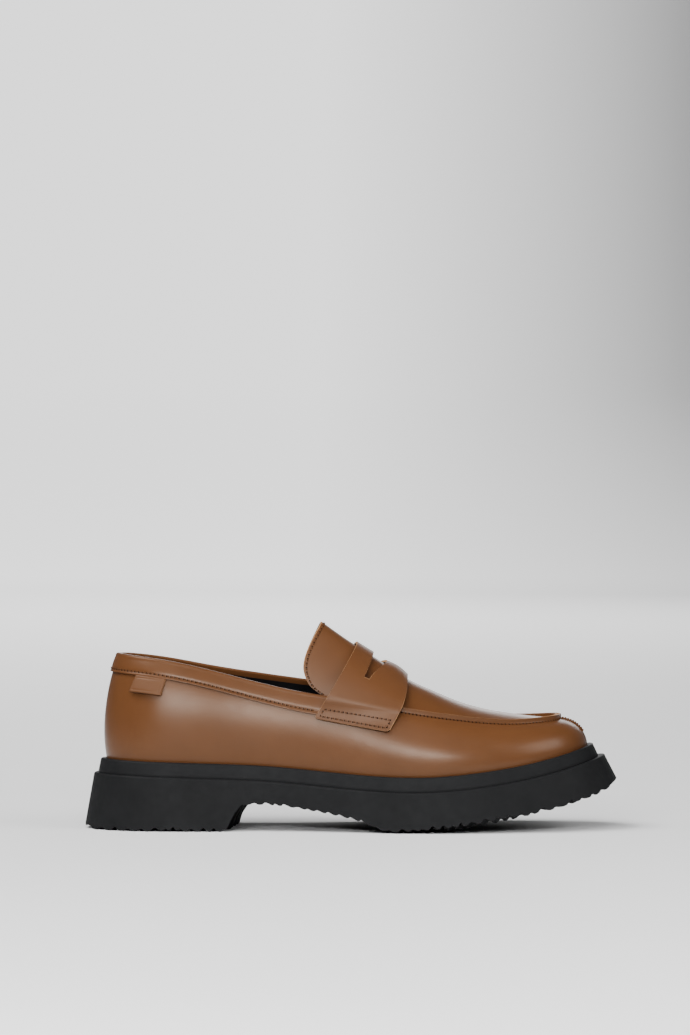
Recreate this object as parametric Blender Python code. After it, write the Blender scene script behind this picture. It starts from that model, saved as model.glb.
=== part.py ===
"""Penny loafer, right foot, men's EU 42, on a chunky ribbed sole.

Frame: metres, +Z up from the ground, +X towards the toe, +Y towards the inner (medial) side of the foot.
The origin is on the ground, under the middle of the outsole's box.

The feather line is the closed line where the upper meets the midsole, and every piece is placed from it. A place on
it is s: 0 at the toe, 1 at the heel, 0 to 1 along the outer side and 1 to 2 back along the inner side. A place on
the side wall is (s, t), with t from 0 at the feather line to 1 at the wall's top edge. A place on the surface over
the foot is (s, v), with v from -1 on the outer side through 0 on the ridge to 1 on the inner side.
"""

import math

import bmesh
import bpy
import numpy as np
from mathutils import Matrix, Vector

MM = 0.001
UP = np.array([0.0, 0.0, 1.0])

# Leather, linings and the gap between neighbouring pieces.
GAP = 0.3 * MM
LEATHER = 1.4 * MM
LINING = 0.9 * MM
STIFFENER = 1.2 * MM  # toe puff and heel counter
LASTING_MARGIN = 12 * MM  # upper leather turned under the insole board
TUCK = 2.0 * MM  # how far the upper sits inside the midsole's recess
SEAM_HALF_GAP_S = 0.001  # at the toe seam, the heel seam and between the linings
THREAD_RADIUS = 0.3 * MM
THREAD_LIFT = THREAD_RADIUS + 0.5 * MM  # a thread's centre line above the leather it is sewn on

# Soles: how far each edge stands out of the feather line at the toe, side and heel.
MIDSOLE_TOP_OUT = (4.0 * MM, 4.0 * MM, 4.0 * MM)
MIDSOLE_BOTTOM_OUT = (7.0 * MM, 5.5 * MM, 5.5 * MM)
OUTSOLE_TOP_OUT = (11.0 * MM, 8.0 * MM, 8.0 * MM)
OUTSOLE_BOTTOM_OUT = (20.6 * MM, 11.4 * MM, 14.4 * MM)
BAND = 8.5 * MM  # visible height of the midsole
RIB_PITCH = 7.0 * MM
RIB_DEPTH = 2.6 * MM
HEEL_BACK_X = -158 * MM
BREAST_X = -71 * MM  # the heel's front face, on the outer side
BREAST_SKEW = 9 * MM  # and how much further forward it is on the inner side
BREAST_LEAN = 1 * MM  # half of how far its foot leans forwards
BREAST_HEIGHT = 9 * MM
BREAST_FILLET = (4 * MM, 13 * MM)  # forward of the face, and the height where it runs into the waist
WAIST_START = 9 * MM  # forward of the face
ARCH_END_X = 14 * MM
TREAD_RISE_X = 40 * MM  # in front of this the tread leaves the ground
TREAD_TOE_X = 160 * MM
TOE_CORNER_Z = 29 * MM
HEEL_CORNER = 3 * MM  # chamfer at the heel's rear edge

# The outsole starts as a block that reaches below the tread, and a wide cutter below the tread's outline trims it.
BLOCK_BELOW = 6 * MM
CUTTER_HALF_LENGTH = 175 * MM
CUTTER_HALF_WIDTH = 90 * MM
CUTTER_BOTTOM_Z = -20 * MM
CUTTER_HEEL_Z = 7 * MM  # the outline's height at the cutter's two ends
CUTTER_TOE_Z = 36 * MM
RECESS_OUT = 0.6 * MM  # the midsole's recess stands this far outside the feather line
FILLER_CLEARANCE = 2 * MM  # between the bottom filler and the lasting margin

# Insole board, footbed and shank.
BOARD = 2.0 * MM
BOARD_IN = (-6.0 * MM, -5.0 * MM, -5.0 * MM)
FOOTBED = 4.5 * MM
FOOTBED_COVER = 1.0 * MM
FOOTBED_IN = (-13.0 * MM, -6.4 * MM, -6.4 * MM)
COVER_IN = (-13.6 * MM, -7.0 * MM, -7.0 * MM)
SHANK_SPAN = (-112 * MM, -14 * MM)
SHANK_HALF_WIDTH = 7 * MM
SHANK = 1.3 * MM

# Apron seam, tongue and collar.
LIP = 3.0 * MM  # the upturned edges of the apron seam
LIP_REST = 0.6 * MM  # what is left of them under the strap and round the collar
LIP_START_X = 18 * MM
LIP_RUN = 8 * MM
LIP_STEP = 0.3 * MM  # the apron's edge ends this much below the wall's
INSTEP_LEAN = math.tan(math.radians(34.5))  # the instep's cross-sections lean forwards
ROUNDING_RISE = 27 * MM  # rise of the ridge over the side walls at which a section is round instead of flat
THROAT_X = -15.5 * MM  # the apron ends and the tongue starts, under the strap's rear edge
TONGUE_TIP_X = -43.5 * MM
TONGUE_INSET = 6.8 * MM  # the tongue's sides run inside the collar
TONGUE_DROP = 4 * MM
TONGUE_EDGE_V = 0.93
TONGUE_SIDE_LENGTH_S = 0.004  # what is left of the tongue's length at its side edges
TONGUE_ROUNDING = (5, 0.42)  # powers of the rear edge's outline
TONGUE_INSET_START_S = 0.455
TONGUE_INSET_END_S = 0.525
COLLAR_WIDTH = 10 * MM
COLLAR_LEATHER = 1.2 * MM
COLLAR_FRONT = 17  # the collar's front ends, as a station
STITCH_IN = 1.8 * MM  # rows of stitches run this far inside an edge

# Penny strap.
STRAP = 1.5 * MM
STRAP_SEAM_SHARE = 0.66  # share of the half strap that lies above the side wall's top edge
STRAP_END_REAR_Z = 66.2 * MM
STRAP_END_FRONT_Z = 58.7 * MM
STRAP_END_CLEARANCE = 0.5 * MM
STRAP_CLEARANCE = 3.4 * MM  # where it steps over the collar's ends and the tongue
STRAP_RISE_SHARE = 0.12  # share of the half strap in which it rises from one to the other
SLOT_HALF_LENGTH = 24 * MM
SLOT_CENTRE_WIDTH = 8.2 * MM
SLOT_END_WIDTH = 3.0 * MM
SLOT_REAR_SHARE = 0.665  # of the strap's width, from its front edge
SLOT_CUT = (-16 * MM, 12 * MM)  # the slot cutter's reach below and above the strap

# Side tab: a blank leather flap sewn under the collar band.
TAB_S = (0.862, 0.921)
TAB_HEIGHT = 9 * MM
TAB = 1.4 * MM
TAB_GAP = 1.0 * MM

# Threads: where each row starts or ends, and the box that holds each end of the strap.
COLLAR_THREAD_X = -25 * MM
APRON_THREAD_T = 0.93
APRON_THREAD_END = 11  # as a station
TOE_SEAM_TURNS = 15
TOE_SEAM_T = (0.2, 0.82)
TOE_SEAM_HALF_WIDTH_S = 0.006
STRAP_BOX_BACK = (0.06, 0.94)
STRAP_BOX_C = (0.87, 0.975)
TONGUE_THREAD_V = 0.86
TONGUE_THREAD_SHARE = 0.93

# Every ring and every layer of the wall has its points at the same stations, so that their facets are parallel.
STATIONS = 64
PUFF_END = 5
LINING_JOIN = 16
COUNTER_START = 24
WALL_ROWS = (0.12, 0.26, 0.42, 0.58, 0.74, 0.88)
LINING_TOP_ROW = 0.985


def spline(pairs):
    """A natural cubic through (place, value) pairs, as a function that holds its end values outside them."""
    x, y = np.array(list(pairs), float).T
    n = len(x)
    h = np.diff(x)
    system = np.eye(n)
    right = np.zeros(n)
    for i in range(1, n - 1):
        system[i, i - 1 : i + 2] = h[i - 1], 2 * (h[i - 1] + h[i]), h[i]
        right[i] = 6 * ((y[i + 1] - y[i]) / h[i] - (y[i] - y[i - 1]) / h[i - 1])
    bend = np.linalg.solve(system, right)

    def value(at):
        at = np.clip(np.asarray(at, float), x[0], x[-1])
        i = np.clip(np.searchsorted(x, at) - 1, 0, n - 2)
        a, b = x[i + 1] - at, at - x[i]
        left = (y[i] / h[i] - bend[i] * h[i] / 6) * a
        right_side = (y[i + 1] / h[i] - bend[i + 1] * h[i] / 6) * b
        return bend[i] * a**3 / (6 * h[i]) + bend[i + 1] * b**3 / (6 * h[i]) + left + right_side

    return value


def profile(pairs):
    """A spline from pairs in millimetres."""
    return spline((place * MM, value * MM) for place, value in pairs)


# Plan of the feather line in millimetres, clockwise from the toe: outer side first.
FEATHER = [
    (139.2, 3), (134.5, -17), (119, -33), (88, -44.5), (50, -48), (15, -43), (-25, -34.5), (-70, -29.5),
    (-108, -29.5), (-133, -20), (-143.7, 0), (-133, 20), (-106, 28.5), (-70, 27), (-25, 30), (15, 38.5),
    (50, 45.5), (86, 45.5), (118, 35.5), (134.5, 21),
]

# Heights along the shoe: feather line, wall's top edge, ridge over the foot, tread and hollow of the waist.
feather_z = profile([(-144, 41.2), (-78, 39.3), (-48, 38), (-18, 35.5), (21, 32.6), (46, 32.5), (72, 34.7),
                     (98, 38.6), (123, 44.2), (140, 48.8)])
top_z = profile([(-138, 101.6), (-109, 98.2), (-68, 88.8), (-28, 79.8), (0, 75.5), (29, 70), (65, 64.6), (92, 62.3),
                 (124, 64)])
ridge_z = profile([(-18, 121.4), (1, 107.8), (18, 97), (34, 86.5), (48, 80), (59, 75.3), (70, 71.5), (84, 68.3),
                   (105, 65.7), (124, 64)])
toe_spring_z = profile([(40, 0), (60, 0.2), (75, 2.5), (98, 8), (123, 14.5), (146, 22.5), (158, 28.5)])
arch_z = profile([(-70, 15.8), (-55, 15.9), (-30, 13.6), (-12, 10), (2, 6.5), (14, 1)])

# Side wall's section along the shoe: how far its top leans in, and the two handles of its curve, whose heights are
# shares of the wall's.
top_inset = profile([(-146, 6.2), (-110, 6), (-50, 3.8), (-10, 4.6), (30, 10), (60, 13.5), (100, 14.5), (140, 15.5)])
low_handle_out = profile([(-144, 4.5), (-60, 4), (20, 4.5), (70, 4.5), (139, 0.5)])
high_handle_out = profile([(-144, 0.5), (-60, 1.5), (0, -1), (50, -4.5), (139, -6.5)])
low_handle_up = spline([(-144 * MM, 0.3), (-60 * MM, 0.34), (50 * MM, 0.42), (139 * MM, 0.55)])
high_handle_up = spline([(-144 * MM, 0.72), (-60 * MM, 0.76), (50 * MM, 0.9), (139 * MM, 0.95)])

# Edges of the strap along the shoe, against the share of the half strap below the ridge.
strap_rear = spline([(0, -16.3 * MM), (0.33, -16.4 * MM), (0.66, -14.4 * MM), (1, -21.3 * MM)])
strap_front = spline([(0, 18.5 * MM), (0.33, 24 * MM), (0.66, 28 * MM), (1, 22 * MM)])


def measured_feather(count=4000):
    """Points, outward normals and s along the feather line, from the toe round to the toe again."""
    corners = np.array(FEATHER) * MM
    n = len(corners)
    thrice = np.vstack([corners, corners, corners])
    places = np.concatenate([[0], np.cumsum(np.linalg.norm(np.diff(thrice, axis=0), axis=1))])
    at = np.linspace(places[n], places[2 * n], count, endpoint=False)
    line = np.column_stack([spline(zip(places, thrice[:, k]))(at) for k in (0, 1)])
    line = np.roll(line, -int(np.argmax(line[:, 0])), axis=0)
    ahead = np.roll(line, -1, axis=0) - np.roll(line, 1, axis=0)
    normal = np.column_stack([-ahead[:, 1], ahead[:, 0]]) / np.linalg.norm(ahead, axis=1)[:, None]
    line = np.vstack([line, line[:1]])
    normal = np.vstack([normal, normal[:1]])
    run = np.concatenate([[0], np.cumsum(np.linalg.norm(np.diff(line, axis=0), axis=1))])
    heel = int(np.argmin(line[:, 0]))
    s = np.where(run <= run[heel], run / run[heel], 1 + (run - run[heel]) / (run[-1] - run[heel]))
    return line, normal, s


LINE, NORMAL, LINE_S = measured_feather()


def feather(s):
    """Plan points and outward plan normals at s."""
    s = np.mod(np.asarray(s, float), 2)
    point = np.stack([np.interp(s, LINE_S, LINE[:, k]) for k in (0, 1)], axis=-1)
    normal = np.stack([np.interp(s, LINE_S, NORMAL[:, k]) for k in (0, 1)], axis=-1)
    return point, normal / np.linalg.norm(normal, axis=-1, keepdims=True)


def stations(first, last):
    """The s of each station from the first to the last."""
    return np.arange(first, last + 1) * 2 / STATIONS


def place_at(x):
    """The s on the outer side where the feather line is at x."""
    outer = LINE_S <= 1
    return np.interp(-np.asarray(x), -LINE[outer, 0], LINE_S[outer])


def plan(vectors):
    """Plan vectors as vectors in space."""
    return np.concatenate([vectors, np.zeros_like(vectors[..., :1])], axis=-1)


def wall(s, t):
    """Outer surface of the side wall."""
    s, t = np.broadcast_arrays(np.asarray(s, float), np.asarray(t, float))
    point, normal = feather(s)
    x = point[..., 0]
    inset = top_inset(x)
    foot = feather_z(x) - TUCK
    rise = top_z(x - normal[..., 0] * inset) - foot
    a, b, c = 3 * (1 - t) ** 2 * t, 3 * (1 - t) * t**2, t**3
    out = a * low_handle_out(x) + b * high_handle_out(x) - c * inset
    up = rise * (a * low_handle_up(x) + b * high_handle_up(x) + c)
    return plan(point + normal * out[..., None]) + UP * (foot + up)[..., None]


def wall_t_at(s, z):
    """The t at which the side wall reaches height z, by halving."""
    low, high = np.zeros_like(s), np.ones_like(s)
    for _ in range(24):
        middle = (low + high) / 2
        above = wall(s, middle)[..., 2] > z
        low, high = np.where(above, low, middle), np.where(above, middle, high)
    return (low + high) / 2


def band_t(s, depth):
    """The t that lies a distance below the wall's top edge."""
    return 1 - depth / np.linalg.norm(wall(s, 1.0) - wall(s, 0.8), axis=-1) * 0.2


def over_foot(s, v, inset=0.0, drop=0.0):
    """Outer surface over the foot: s is taken on the outer side, with the same s on the inner side.

    A section's ends lie inset inside the side wall's top edge, and drop below it. Sections are flat parabolas at the
    toe and near ellipses at the instep.
    """
    s, v, inset, drop = np.broadcast_arrays(*(np.asarray(k, float) for k in (s, v, inset, drop)))
    outer, inner = (
        wall(side, 1.0) - plan(feather(side)[1]) * inset[..., None] - UP * drop[..., None] for side in (s, 2 - s)
    )
    middle, half = (outer + inner) / 2, (inner - outer) / 2
    x = middle[..., 0]
    for _ in range(12):
        rise = np.maximum(ridge_z(x) - middle[..., 2], 0.2 * MM)
        x = middle[..., 0] + INSTEP_LEAN * rise
    roundness = np.clip(2 - rise / ROUNDING_RISE, 0.95, 2)
    crown = np.cos(v * math.pi / 2) ** roundness
    over = np.stack([(x - middle[..., 0]) * crown, np.zeros_like(x), rise * crown], axis=-1)
    return middle + half * np.sin(v * math.pi / 2)[..., None] + over


def plug(s, v):
    """Top surface of the apron and the tongue: inside the lips at the toe, well inside the collar at the throat."""
    run = TONGUE_INSET_END_S - TONGUE_INSET_START_S
    share = np.clip((np.asarray(s, float) - TONGUE_INSET_START_S) / run, 0, 1)
    front_inset = 2 * LEATHER + GAP
    return over_foot(s, v, front_inset + (TONGUE_INSET - front_inset) * share, TONGUE_DROP * share)


def under_strap(back, c):
    """The surface that the strap follows: back is 0 at its front edge and 1 at its rear, c is -1 to 1 across."""
    back, c = np.broadcast_arrays(np.asarray(back, float), np.asarray(c, float))
    share = np.abs(c)
    s = place_at(strap_front(share) + back * (strap_rear(share) - strap_front(share)))
    side = np.where(c < 0, s, 2 - s)
    end_t = wall_t_at(side, STRAP_END_FRONT_Z + back * (STRAP_END_REAR_Z - STRAP_END_FRONT_Z))
    down = np.clip((share - STRAP_SEAM_SHARE) / (1 - STRAP_SEAM_SHARE), 0, 1)
    low = wall(side, 1 + down * (end_t - 1))
    high = over_foot(s, np.clip(c / STRAP_SEAM_SHARE, -1, 1))
    return np.where((share > STRAP_SEAM_SHARE)[..., None], low, high)


def strap_lift(c):
    """How far the strap's underside stands off its surface: close at its sewn ends."""
    share = np.clip((1 - np.abs(c)) / STRAP_RISE_SHARE, 0, 1)
    return STRAP_END_CLEARANCE + (STRAP_CLEARANCE - STRAP_END_CLEARANCE) * share


def outward(surface, a, b, step=0.002):
    """Outward unit normals of a surface that is a function of two places."""
    along = surface(a + step, b) - surface(a - step, b)
    across = surface(a, np.minimum(b + step, 1)) - surface(a, np.maximum(b - step, -1))
    normal = np.cross(across, along)
    return normal / np.linalg.norm(normal, axis=-1, keepdims=True)


def lifted(surface, a, b, by):
    """Points of a surface, moved outwards by a distance."""
    return surface(a, b) + outward(surface, a, b) * np.asarray(by)[..., None]


def lip_height(s):
    """How far the edges of the apron seam stand up: full in front of the strap, and almost none behind it."""
    share = np.clip((feather(s)[0][..., 0] - LIP_START_X) / LIP_RUN, 0, 1)
    return LIP_REST + (LIP - LIP_REST) * share


def material(name, colour, roughness, metallic=0.0):
    made = bpy.data.materials.get(name) or bpy.data.materials.new(name)
    made.use_nodes = True
    shader = made.node_tree.nodes["Principled BSDF"]
    shader.inputs["Base Color"].default_value = (*colour, 1)
    shader.inputs["Roughness"].default_value = roughness
    shader.inputs["Metallic"].default_value = metallic
    return made


def tan_leather():
    return material("tan_leather", (0.27, 0.11, 0.04), 0.4)


def black_lining():
    return material("black_lining", (0.012, 0.012, 0.013), 0.75)


def tan_thread():
    return material("tan_thread", (0.18, 0.07, 0.025), 0.7)


def black_rubber():
    return material("black_rubber", (0.02, 0.02, 0.022), 0.65)


def black_foam():
    return material("black_foam", (0.025, 0.025, 0.027), 0.6)


def board_fibre():
    return material("board_fibre", (0.36, 0.25, 0.15), 0.85)


def stiff_board():
    return material("stiff_board", (0.55, 0.5, 0.42), 0.8)


def spring_steel():
    return material("spring_steel", (0.5, 0.5, 0.52), 0.35, 1.0)


def mesh_object(name, points, faces, look):
    """One closed object from points and faces, with its faces turned outwards and its round parts smooth."""
    mesh = bpy.data.meshes.new(name)
    mesh.from_pydata([tuple(p) for p in points], [], [tuple(f) for f in faces])
    work = bmesh.new()
    work.from_mesh(mesh)
    bmesh.ops.recalc_face_normals(work, faces=work.faces)
    work.to_mesh(mesh)
    work.free()
    mesh.shade_smooth()
    mesh.set_sharp_from_angle(angle=math.radians(35))
    mesh.materials.append(look)
    made = bpy.data.objects.new(name, mesh)
    bpy.context.scene.collection.objects.link(made)
    return made


def sheet(name, outer, inner, look):
    """A solid between two grids of the same size: both faces and a strip round their edges."""
    rows, columns = outer.shape[:2]
    count = rows * columns
    index = np.arange(count).reshape(rows, columns)
    faces = []
    for i in range(rows - 1):
        for j in range(columns - 1):
            a, b, c, d = index[i, j], index[i + 1, j], index[i + 1, j + 1], index[i, j + 1]
            for corners in ((a, b, c), (a, c, d)):
                faces.append(corners)
                faces.append([k + count for k in reversed(corners)])
    edge = np.concatenate([index[0, :-1], index[:-1, -1], index[-1, :0:-1], index[:0:-1, 0]])
    for a, b in zip(edge, np.roll(edge, -1)):
        faces.append((a, b, b + count, a + count))
    return mesh_object(name, np.vstack([outer.reshape(-1, 3), inner.reshape(-1, 3)]), faces, look)


def shell(name, grid, normal, thickness, look):
    """A sheet below a grid of points."""
    return sheet(name, grid, grid - normal * thickness, look)


def layer(name, surface, a, b, top, thickness, look):
    """A sheet along a surface, with its outer face lifted by top, or sunk if top is negative."""
    a, b = a[:, None], b[None, :]
    top = np.broadcast_to(top, np.broadcast_shapes(a.shape, b.shape))
    return sheet(name, lifted(surface, a, b, top), lifted(surface, a, b, top - thickness), look)


def ladder(first, count):
    """Faces across a closed ring of points, each joining a point to the one across the shoe."""
    half = count // 2
    faces = [(first, first + 1, first + count - 1)]
    for i in range(1, half - 1):
        faces.append((first + i, first + i + 1, first + count - i - 1, first + count - i))
    faces.append((first + half - 1, first + half, first + half + 1))
    return faces


def stack(name, rings, look):
    """A solid of closed rings round the shoe, with the first and the last closed across."""
    count = len(rings[0])
    faces = ladder(0, count) + ladder(count * (len(rings) - 1), count)
    for k in range(len(rings) - 1):
        for i in range(count):
            j = (i + 1) % count
            faces.append((k * count + i, k * count + j, (k + 1) * count + j, (k + 1) * count + i))
    return mesh_object(name, np.vstack(rings), faces, look)


def prism(name, first, last, look):
    """A solid between two outlines with as many points each."""
    count = len(first)
    faces = [tuple(range(count)), tuple(range(count, 2 * count))]
    faces += [(i, (i + 1) % count, (i + 1) % count + count, i + count) for i in range(count)]
    return mesh_object(name, [*first, *last], faces, look)


def ring(out, height):
    """A ring round the feather line: out holds the distances for toe, side and heel."""
    point, normal = feather(stations(0, STATIONS - 1))
    toe, side, heel = out
    end = np.where(normal[:, 0] > 0, toe, heel)
    distance = side + (end - side) * normal[:, 0] ** 2
    points = point + normal * distance[:, None]
    return plan(points) + UP * height(points[:, 0])[:, None]


def plate(name, out, low, high, look):
    """A plate that follows the bed's curve, from low to high above the feather line."""
    return stack(name, [ring(out, lambda x: feather_z(x) + low), ring(out, lambda x: feather_z(x) + high)], look)


def thread(name, points, closed=False):
    """A sewing thread along the points."""
    curve = bpy.data.curves.new(name, "CURVE")
    curve.dimensions = "3D"
    curve.bevel_depth = THREAD_RADIUS
    curve.bevel_resolution = 0
    curve.use_fill_caps = True
    line = curve.splines.new("POLY")
    line.points.add(len(points) - 1)
    for place, point in zip(line.points, points):
        place.co = (*point, 1)
    line.use_cyclic_u = closed
    curve.materials.append(tan_thread())
    made = bpy.data.objects.new(name, curve)
    bpy.context.scene.collection.objects.link(made)
    return made


def cut(target, cutter):
    """Takes the cutter out of the target, and leaves the cutter as a hidden helper."""
    cutter.hide_render = True
    cutter.display_type = "WIRE"
    boolean = target.modifiers.new("cut", "BOOLEAN")
    boolean.operation = "DIFFERENCE"
    boolean.object = cutter


def tread_z(x):
    """Height of the tread: flat on the ground up to the ball of the foot, and rising towards the toe."""
    return np.where(x < TREAD_RISE_X, 0, np.maximum(toe_spring_z(x), 0))


def ribs(start, end, count, base, depth):
    """Flat-topped ribs from start to end, as (x, z) points."""
    pitch = (end - start) / count
    points = []
    for x in start + pitch * np.arange(count):
        for share, rise in ((0.1, 0), (0.55, 0), (0.7, depth), (0.92, depth)):
            place = x + share * pitch
            points.append((place, float(base(place)) + rise))
    return points


def rib_count(start, end):
    return round((end - start) / RIB_PITCH)


def tread_outline(skew):
    """The jagged underside from heel to toe: heel ribs, the heel's front face, the hollow waist, forefoot ribs."""
    heel_start = HEEL_BACK_X + HEEL_CORNER
    breast = BREAST_X + skew
    heel_end = breast - BREAST_LEAN
    fillet_run, fillet_z = BREAST_FILLET
    points = [(-CUTTER_HALF_LENGTH, CUTTER_HEEL_Z), (HEEL_BACK_X, HEEL_CORNER)]
    points += ribs(heel_start, heel_end, rib_count(heel_start, BREAST_X), tread_z, RIB_DEPTH)
    points += [(heel_end, 0), (breast + BREAST_LEAN, BREAST_HEIGHT), (breast + fillet_run, fillet_z)]
    waist = breast + WAIST_START
    points += ribs(waist, ARCH_END_X, rib_count(BREAST_X, ARCH_END_X) - 1, arch_z, RIB_DEPTH / 2)
    points += ribs(ARCH_END_X, TREAD_TOE_X, rib_count(ARCH_END_X, TREAD_TOE_X), tread_z, RIB_DEPTH)
    points += [(TREAD_TOE_X, TOE_CORNER_Z), (CUTTER_HALF_LENGTH, CUTTER_TOE_Z)]
    return points


def make_outsole():
    """The moulded outsole: a flared block, cut from below along the tread."""
    def below(x):
        return tread_z(x) - BLOCK_BELOW

    def top(x):
        return feather_z(x) - BAND - GAP

    rings = [ring(OUTSOLE_BOTTOM_OUT, below), ring(OUTSOLE_TOP_OUT, top), ring(MIDSOLE_BOTTOM_OUT, top)]
    block = stack("outsole", rings, black_rubber())
    outlines = []
    for side, skew in ((-1, 0), (1, BREAST_SKEW)):
        bottom = [(CUTTER_HALF_LENGTH, CUTTER_BOTTOM_Z), (-CUTTER_HALF_LENGTH, CUTTER_BOTTOM_Z)]
        outlines.append([(x, side * CUTTER_HALF_WIDTH, z) for x, z in bottom + tread_outline(skew)])
    cut(block, prism("tread_cutter", *outlines, black_rubber()))


def make_midsole():
    """The band under the upper, with a shallow recess that the upper and the filler sit in."""
    recess = (RECESS_OUT, RECESS_OUT, RECESS_OUT)
    rings = [
        ring(MIDSOLE_BOTTOM_OUT, lambda x: feather_z(x) - BAND),
        ring(MIDSOLE_TOP_OUT, feather_z),
        ring(recess, feather_z),
        ring(recess, lambda x: feather_z(x) - TUCK - GAP),
    ]
    stack("midsole", rings, black_foam())


def make_bottom_filler():
    """Fills the hollow inside the lasting margin, in front of the shank."""
    s = stations(2, 15)
    share = np.linspace(0, 1, 5)[None, :, None]
    inset = LASTING_MARGIN + FILLER_CLEARANCE
    outer, inner = (feather(side)[0] - feather(side)[1] * inset for side in (s, 2 - s))
    points = plan(outer[:, None] * (1 - share) + inner[:, None] * share)
    bottom = points + UP * (feather_z(points[..., 0]) - TUCK)[..., None]
    sheet("bottom_filler", bottom + UP * LEATHER, bottom, board_fibre())


def make_shank():
    """A sprung steel strip under the insole board, from the heel seat to the waist."""
    x, y = np.meshgrid(np.linspace(*SHANK_SPAN, 8), (-SHANK_HALF_WIDTH, SHANK_HALF_WIDTH), indexing="ij")
    bottom = np.stack([x, y, feather_z(x) - TUCK], axis=-1)
    sheet("shank", bottom + UP * SHANK, bottom, spring_steel())


def make_upper(name, first, last):
    """One side of the upper, from the toe seam to the heel seam: lasting margin, side wall and upturned lip."""
    s = stations(first, last)
    s[0] += SEAM_HALF_GAP_S
    s[-1] -= SEAM_HALF_GAP_S
    point, flat_normal = feather(s)
    out = plan(flat_normal)
    rows = np.array(WALL_ROWS)[None, :]
    down = np.broadcast_to(-UP, out.shape)
    inner = point - flat_normal * LASTING_MARGIN
    margin = plan(inner) + UP * (feather_z(inner[:, 0]) - TUCK)[:, None]
    lip = wall(s, 1.0) + UP * lip_height(s)[:, None]
    edges = [margin, wall(s, 0.0)], [wall(s, 1.0), lip]
    low, high = (np.stack(pair, axis=1) for pair in edges)
    grid = np.concatenate([low, wall(s[:, None], rows), high], axis=1)
    low_normal, high_normal = np.stack([down, out + down], axis=1), np.stack([out, out], axis=1)
    normal = np.concatenate([low_normal, outward(wall, s[:, None], rows), high_normal], axis=1)
    shell(name, grid, normal, LEATHER, tan_leather())


def lining_depth(s, t):
    """How far inside the wall's outer face the lining lies: deeper where a stiffener is between them."""
    station = np.minimum(s, 2 - s) * STATIONS / 2
    station = np.where(s < 0, -s * STATIONS / 2, station)
    toe = np.clip(PUFF_END + 1 - station, 0, 1)
    heel = np.clip(station - COUNTER_START + 1, 0, 1)
    below_counter_top = np.clip((WALL_ROWS[-1] - t) / (WALL_ROWS[-1] - WALL_ROWS[-2]), 0, 1)
    return LEATHER + GAP + (STIFFENER + GAP) * np.maximum(toe, heel * below_counter_top)


def make_wall_lining(name, first, last, rows):
    s = stations(first, last)
    s[0] += SEAM_HALF_GAP_S
    s[-1] -= SEAM_HALF_GAP_S
    rows = np.array(rows)
    layer(name, wall, s, rows, -lining_depth(s[:, None], rows[None, :]), LINING, black_lining())


def make_stiffeners():
    depth = -(LEATHER + GAP)
    counter = stations(COUNTER_START, STATIONS - COUNTER_START)
    layer("heel_counter", wall, counter, np.array(WALL_ROWS[:-1]), depth, STIFFENER, stiff_board())
    puff = stations(-PUFF_END, PUFF_END)
    layer("toe_puff", wall, puff, np.array(WALL_ROWS), depth, STIFFENER, stiff_board())


def collar_path(s, outside, inside):
    """A path for each s: up the outside of the wall, over the topline and down its inside."""
    outer_leg = [lifted(wall, s, band_t(s, share * COLLAR_WIDTH), np.full_like(s, outside)) for share in (1, 0.5)]
    inner_end = lifted(wall, s, band_t(s, COLLAR_WIDTH / 2), np.full_like(s, -inside))
    edge = wall(s, 1.0)
    out = plan(feather(s)[1])
    out /= (out * outward(wall, s, np.ones_like(s))).sum(axis=-1, keepdims=True)
    outer_top, inner_top = edge + out * outside, edge - out * inside
    lift = UP * (outside + LIP_REST)
    return np.stack([*outer_leg, outer_top, outer_top + lift, inner_top + lift, inner_top, inner_end], axis=1)


def make_collar_band():
    """The leather band folded over the topline, from the strap round the heel to the strap."""
    s = stations(COLLAR_FRONT, STATIONS - COLLAR_FRONT)
    depth = LEATHER + GAP + LINING + GAP
    sheet("collar_band", collar_path(s, GAP + COLLAR_LEATHER, depth + COLLAR_LEATHER), collar_path(s, GAP, depth),
          tan_leather())


def make_apron():
    """The plug over the toes, its edges turned up inside the side wall's lips."""
    s = np.append(stations(1, 17)[stations(1, 17) < place_at(THROAT_X) - 0.01], place_at(THROAT_X) - 0.002)
    v = np.linspace(-1, 1, 11)[1:-1]
    edge_grid, edge_normal = [], []
    for side, across in ((s, -1.0), (2 - s, 1.0)):
        out = plan(feather(side)[1])
        edge = plug(s, across)
        top = edge + UP * (lip_height(s) - LIP_STEP)[:, None]
        edge_grid.append(np.stack([top, edge], axis=1))
        edge_normal.append(np.stack([-out, UP - out], axis=1))
    grid = [edge_grid[0], plug(s[:, None], v[None, :]), edge_grid[1][:, ::-1]]
    normal = [edge_normal[0], outward(plug, s[:, None], v[None, :]), edge_normal[1][:, ::-1]]
    shell("apron", np.concatenate(grid, axis=1), np.concatenate(normal, axis=1), LEATHER, tan_leather())
    layer("apron_lining", plug, s[1:], v, -(LEATHER + GAP), LINING, black_lining())


def tongue_surface(share, v):
    """The tongue, by its share of the way back: its rear edge runs straight across and rounds off at the sides."""
    start = place_at(THROAT_X) + 0.002
    full = place_at(TONGUE_TIP_X) - start
    flat, fall = TONGUE_ROUNDING
    length = TONGUE_SIDE_LENGTH_S + full * (1 - np.abs(v) ** flat) ** fall
    return plug(start + share * length, v)


def make_tongue():
    rows = np.linspace(0, 1, 6)
    v = np.linspace(-TONGUE_EDGE_V, TONGUE_EDGE_V, 15)
    tongue = layer("tongue", tongue_surface, rows, v, 0, LEATHER, tan_leather())
    depth = -(LEATHER + GAP)
    lining = layer("tongue_lining", tongue_surface, 0.96 * rows, v[1:-1], depth, LINING, black_lining())
    return tongue, lining


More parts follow.
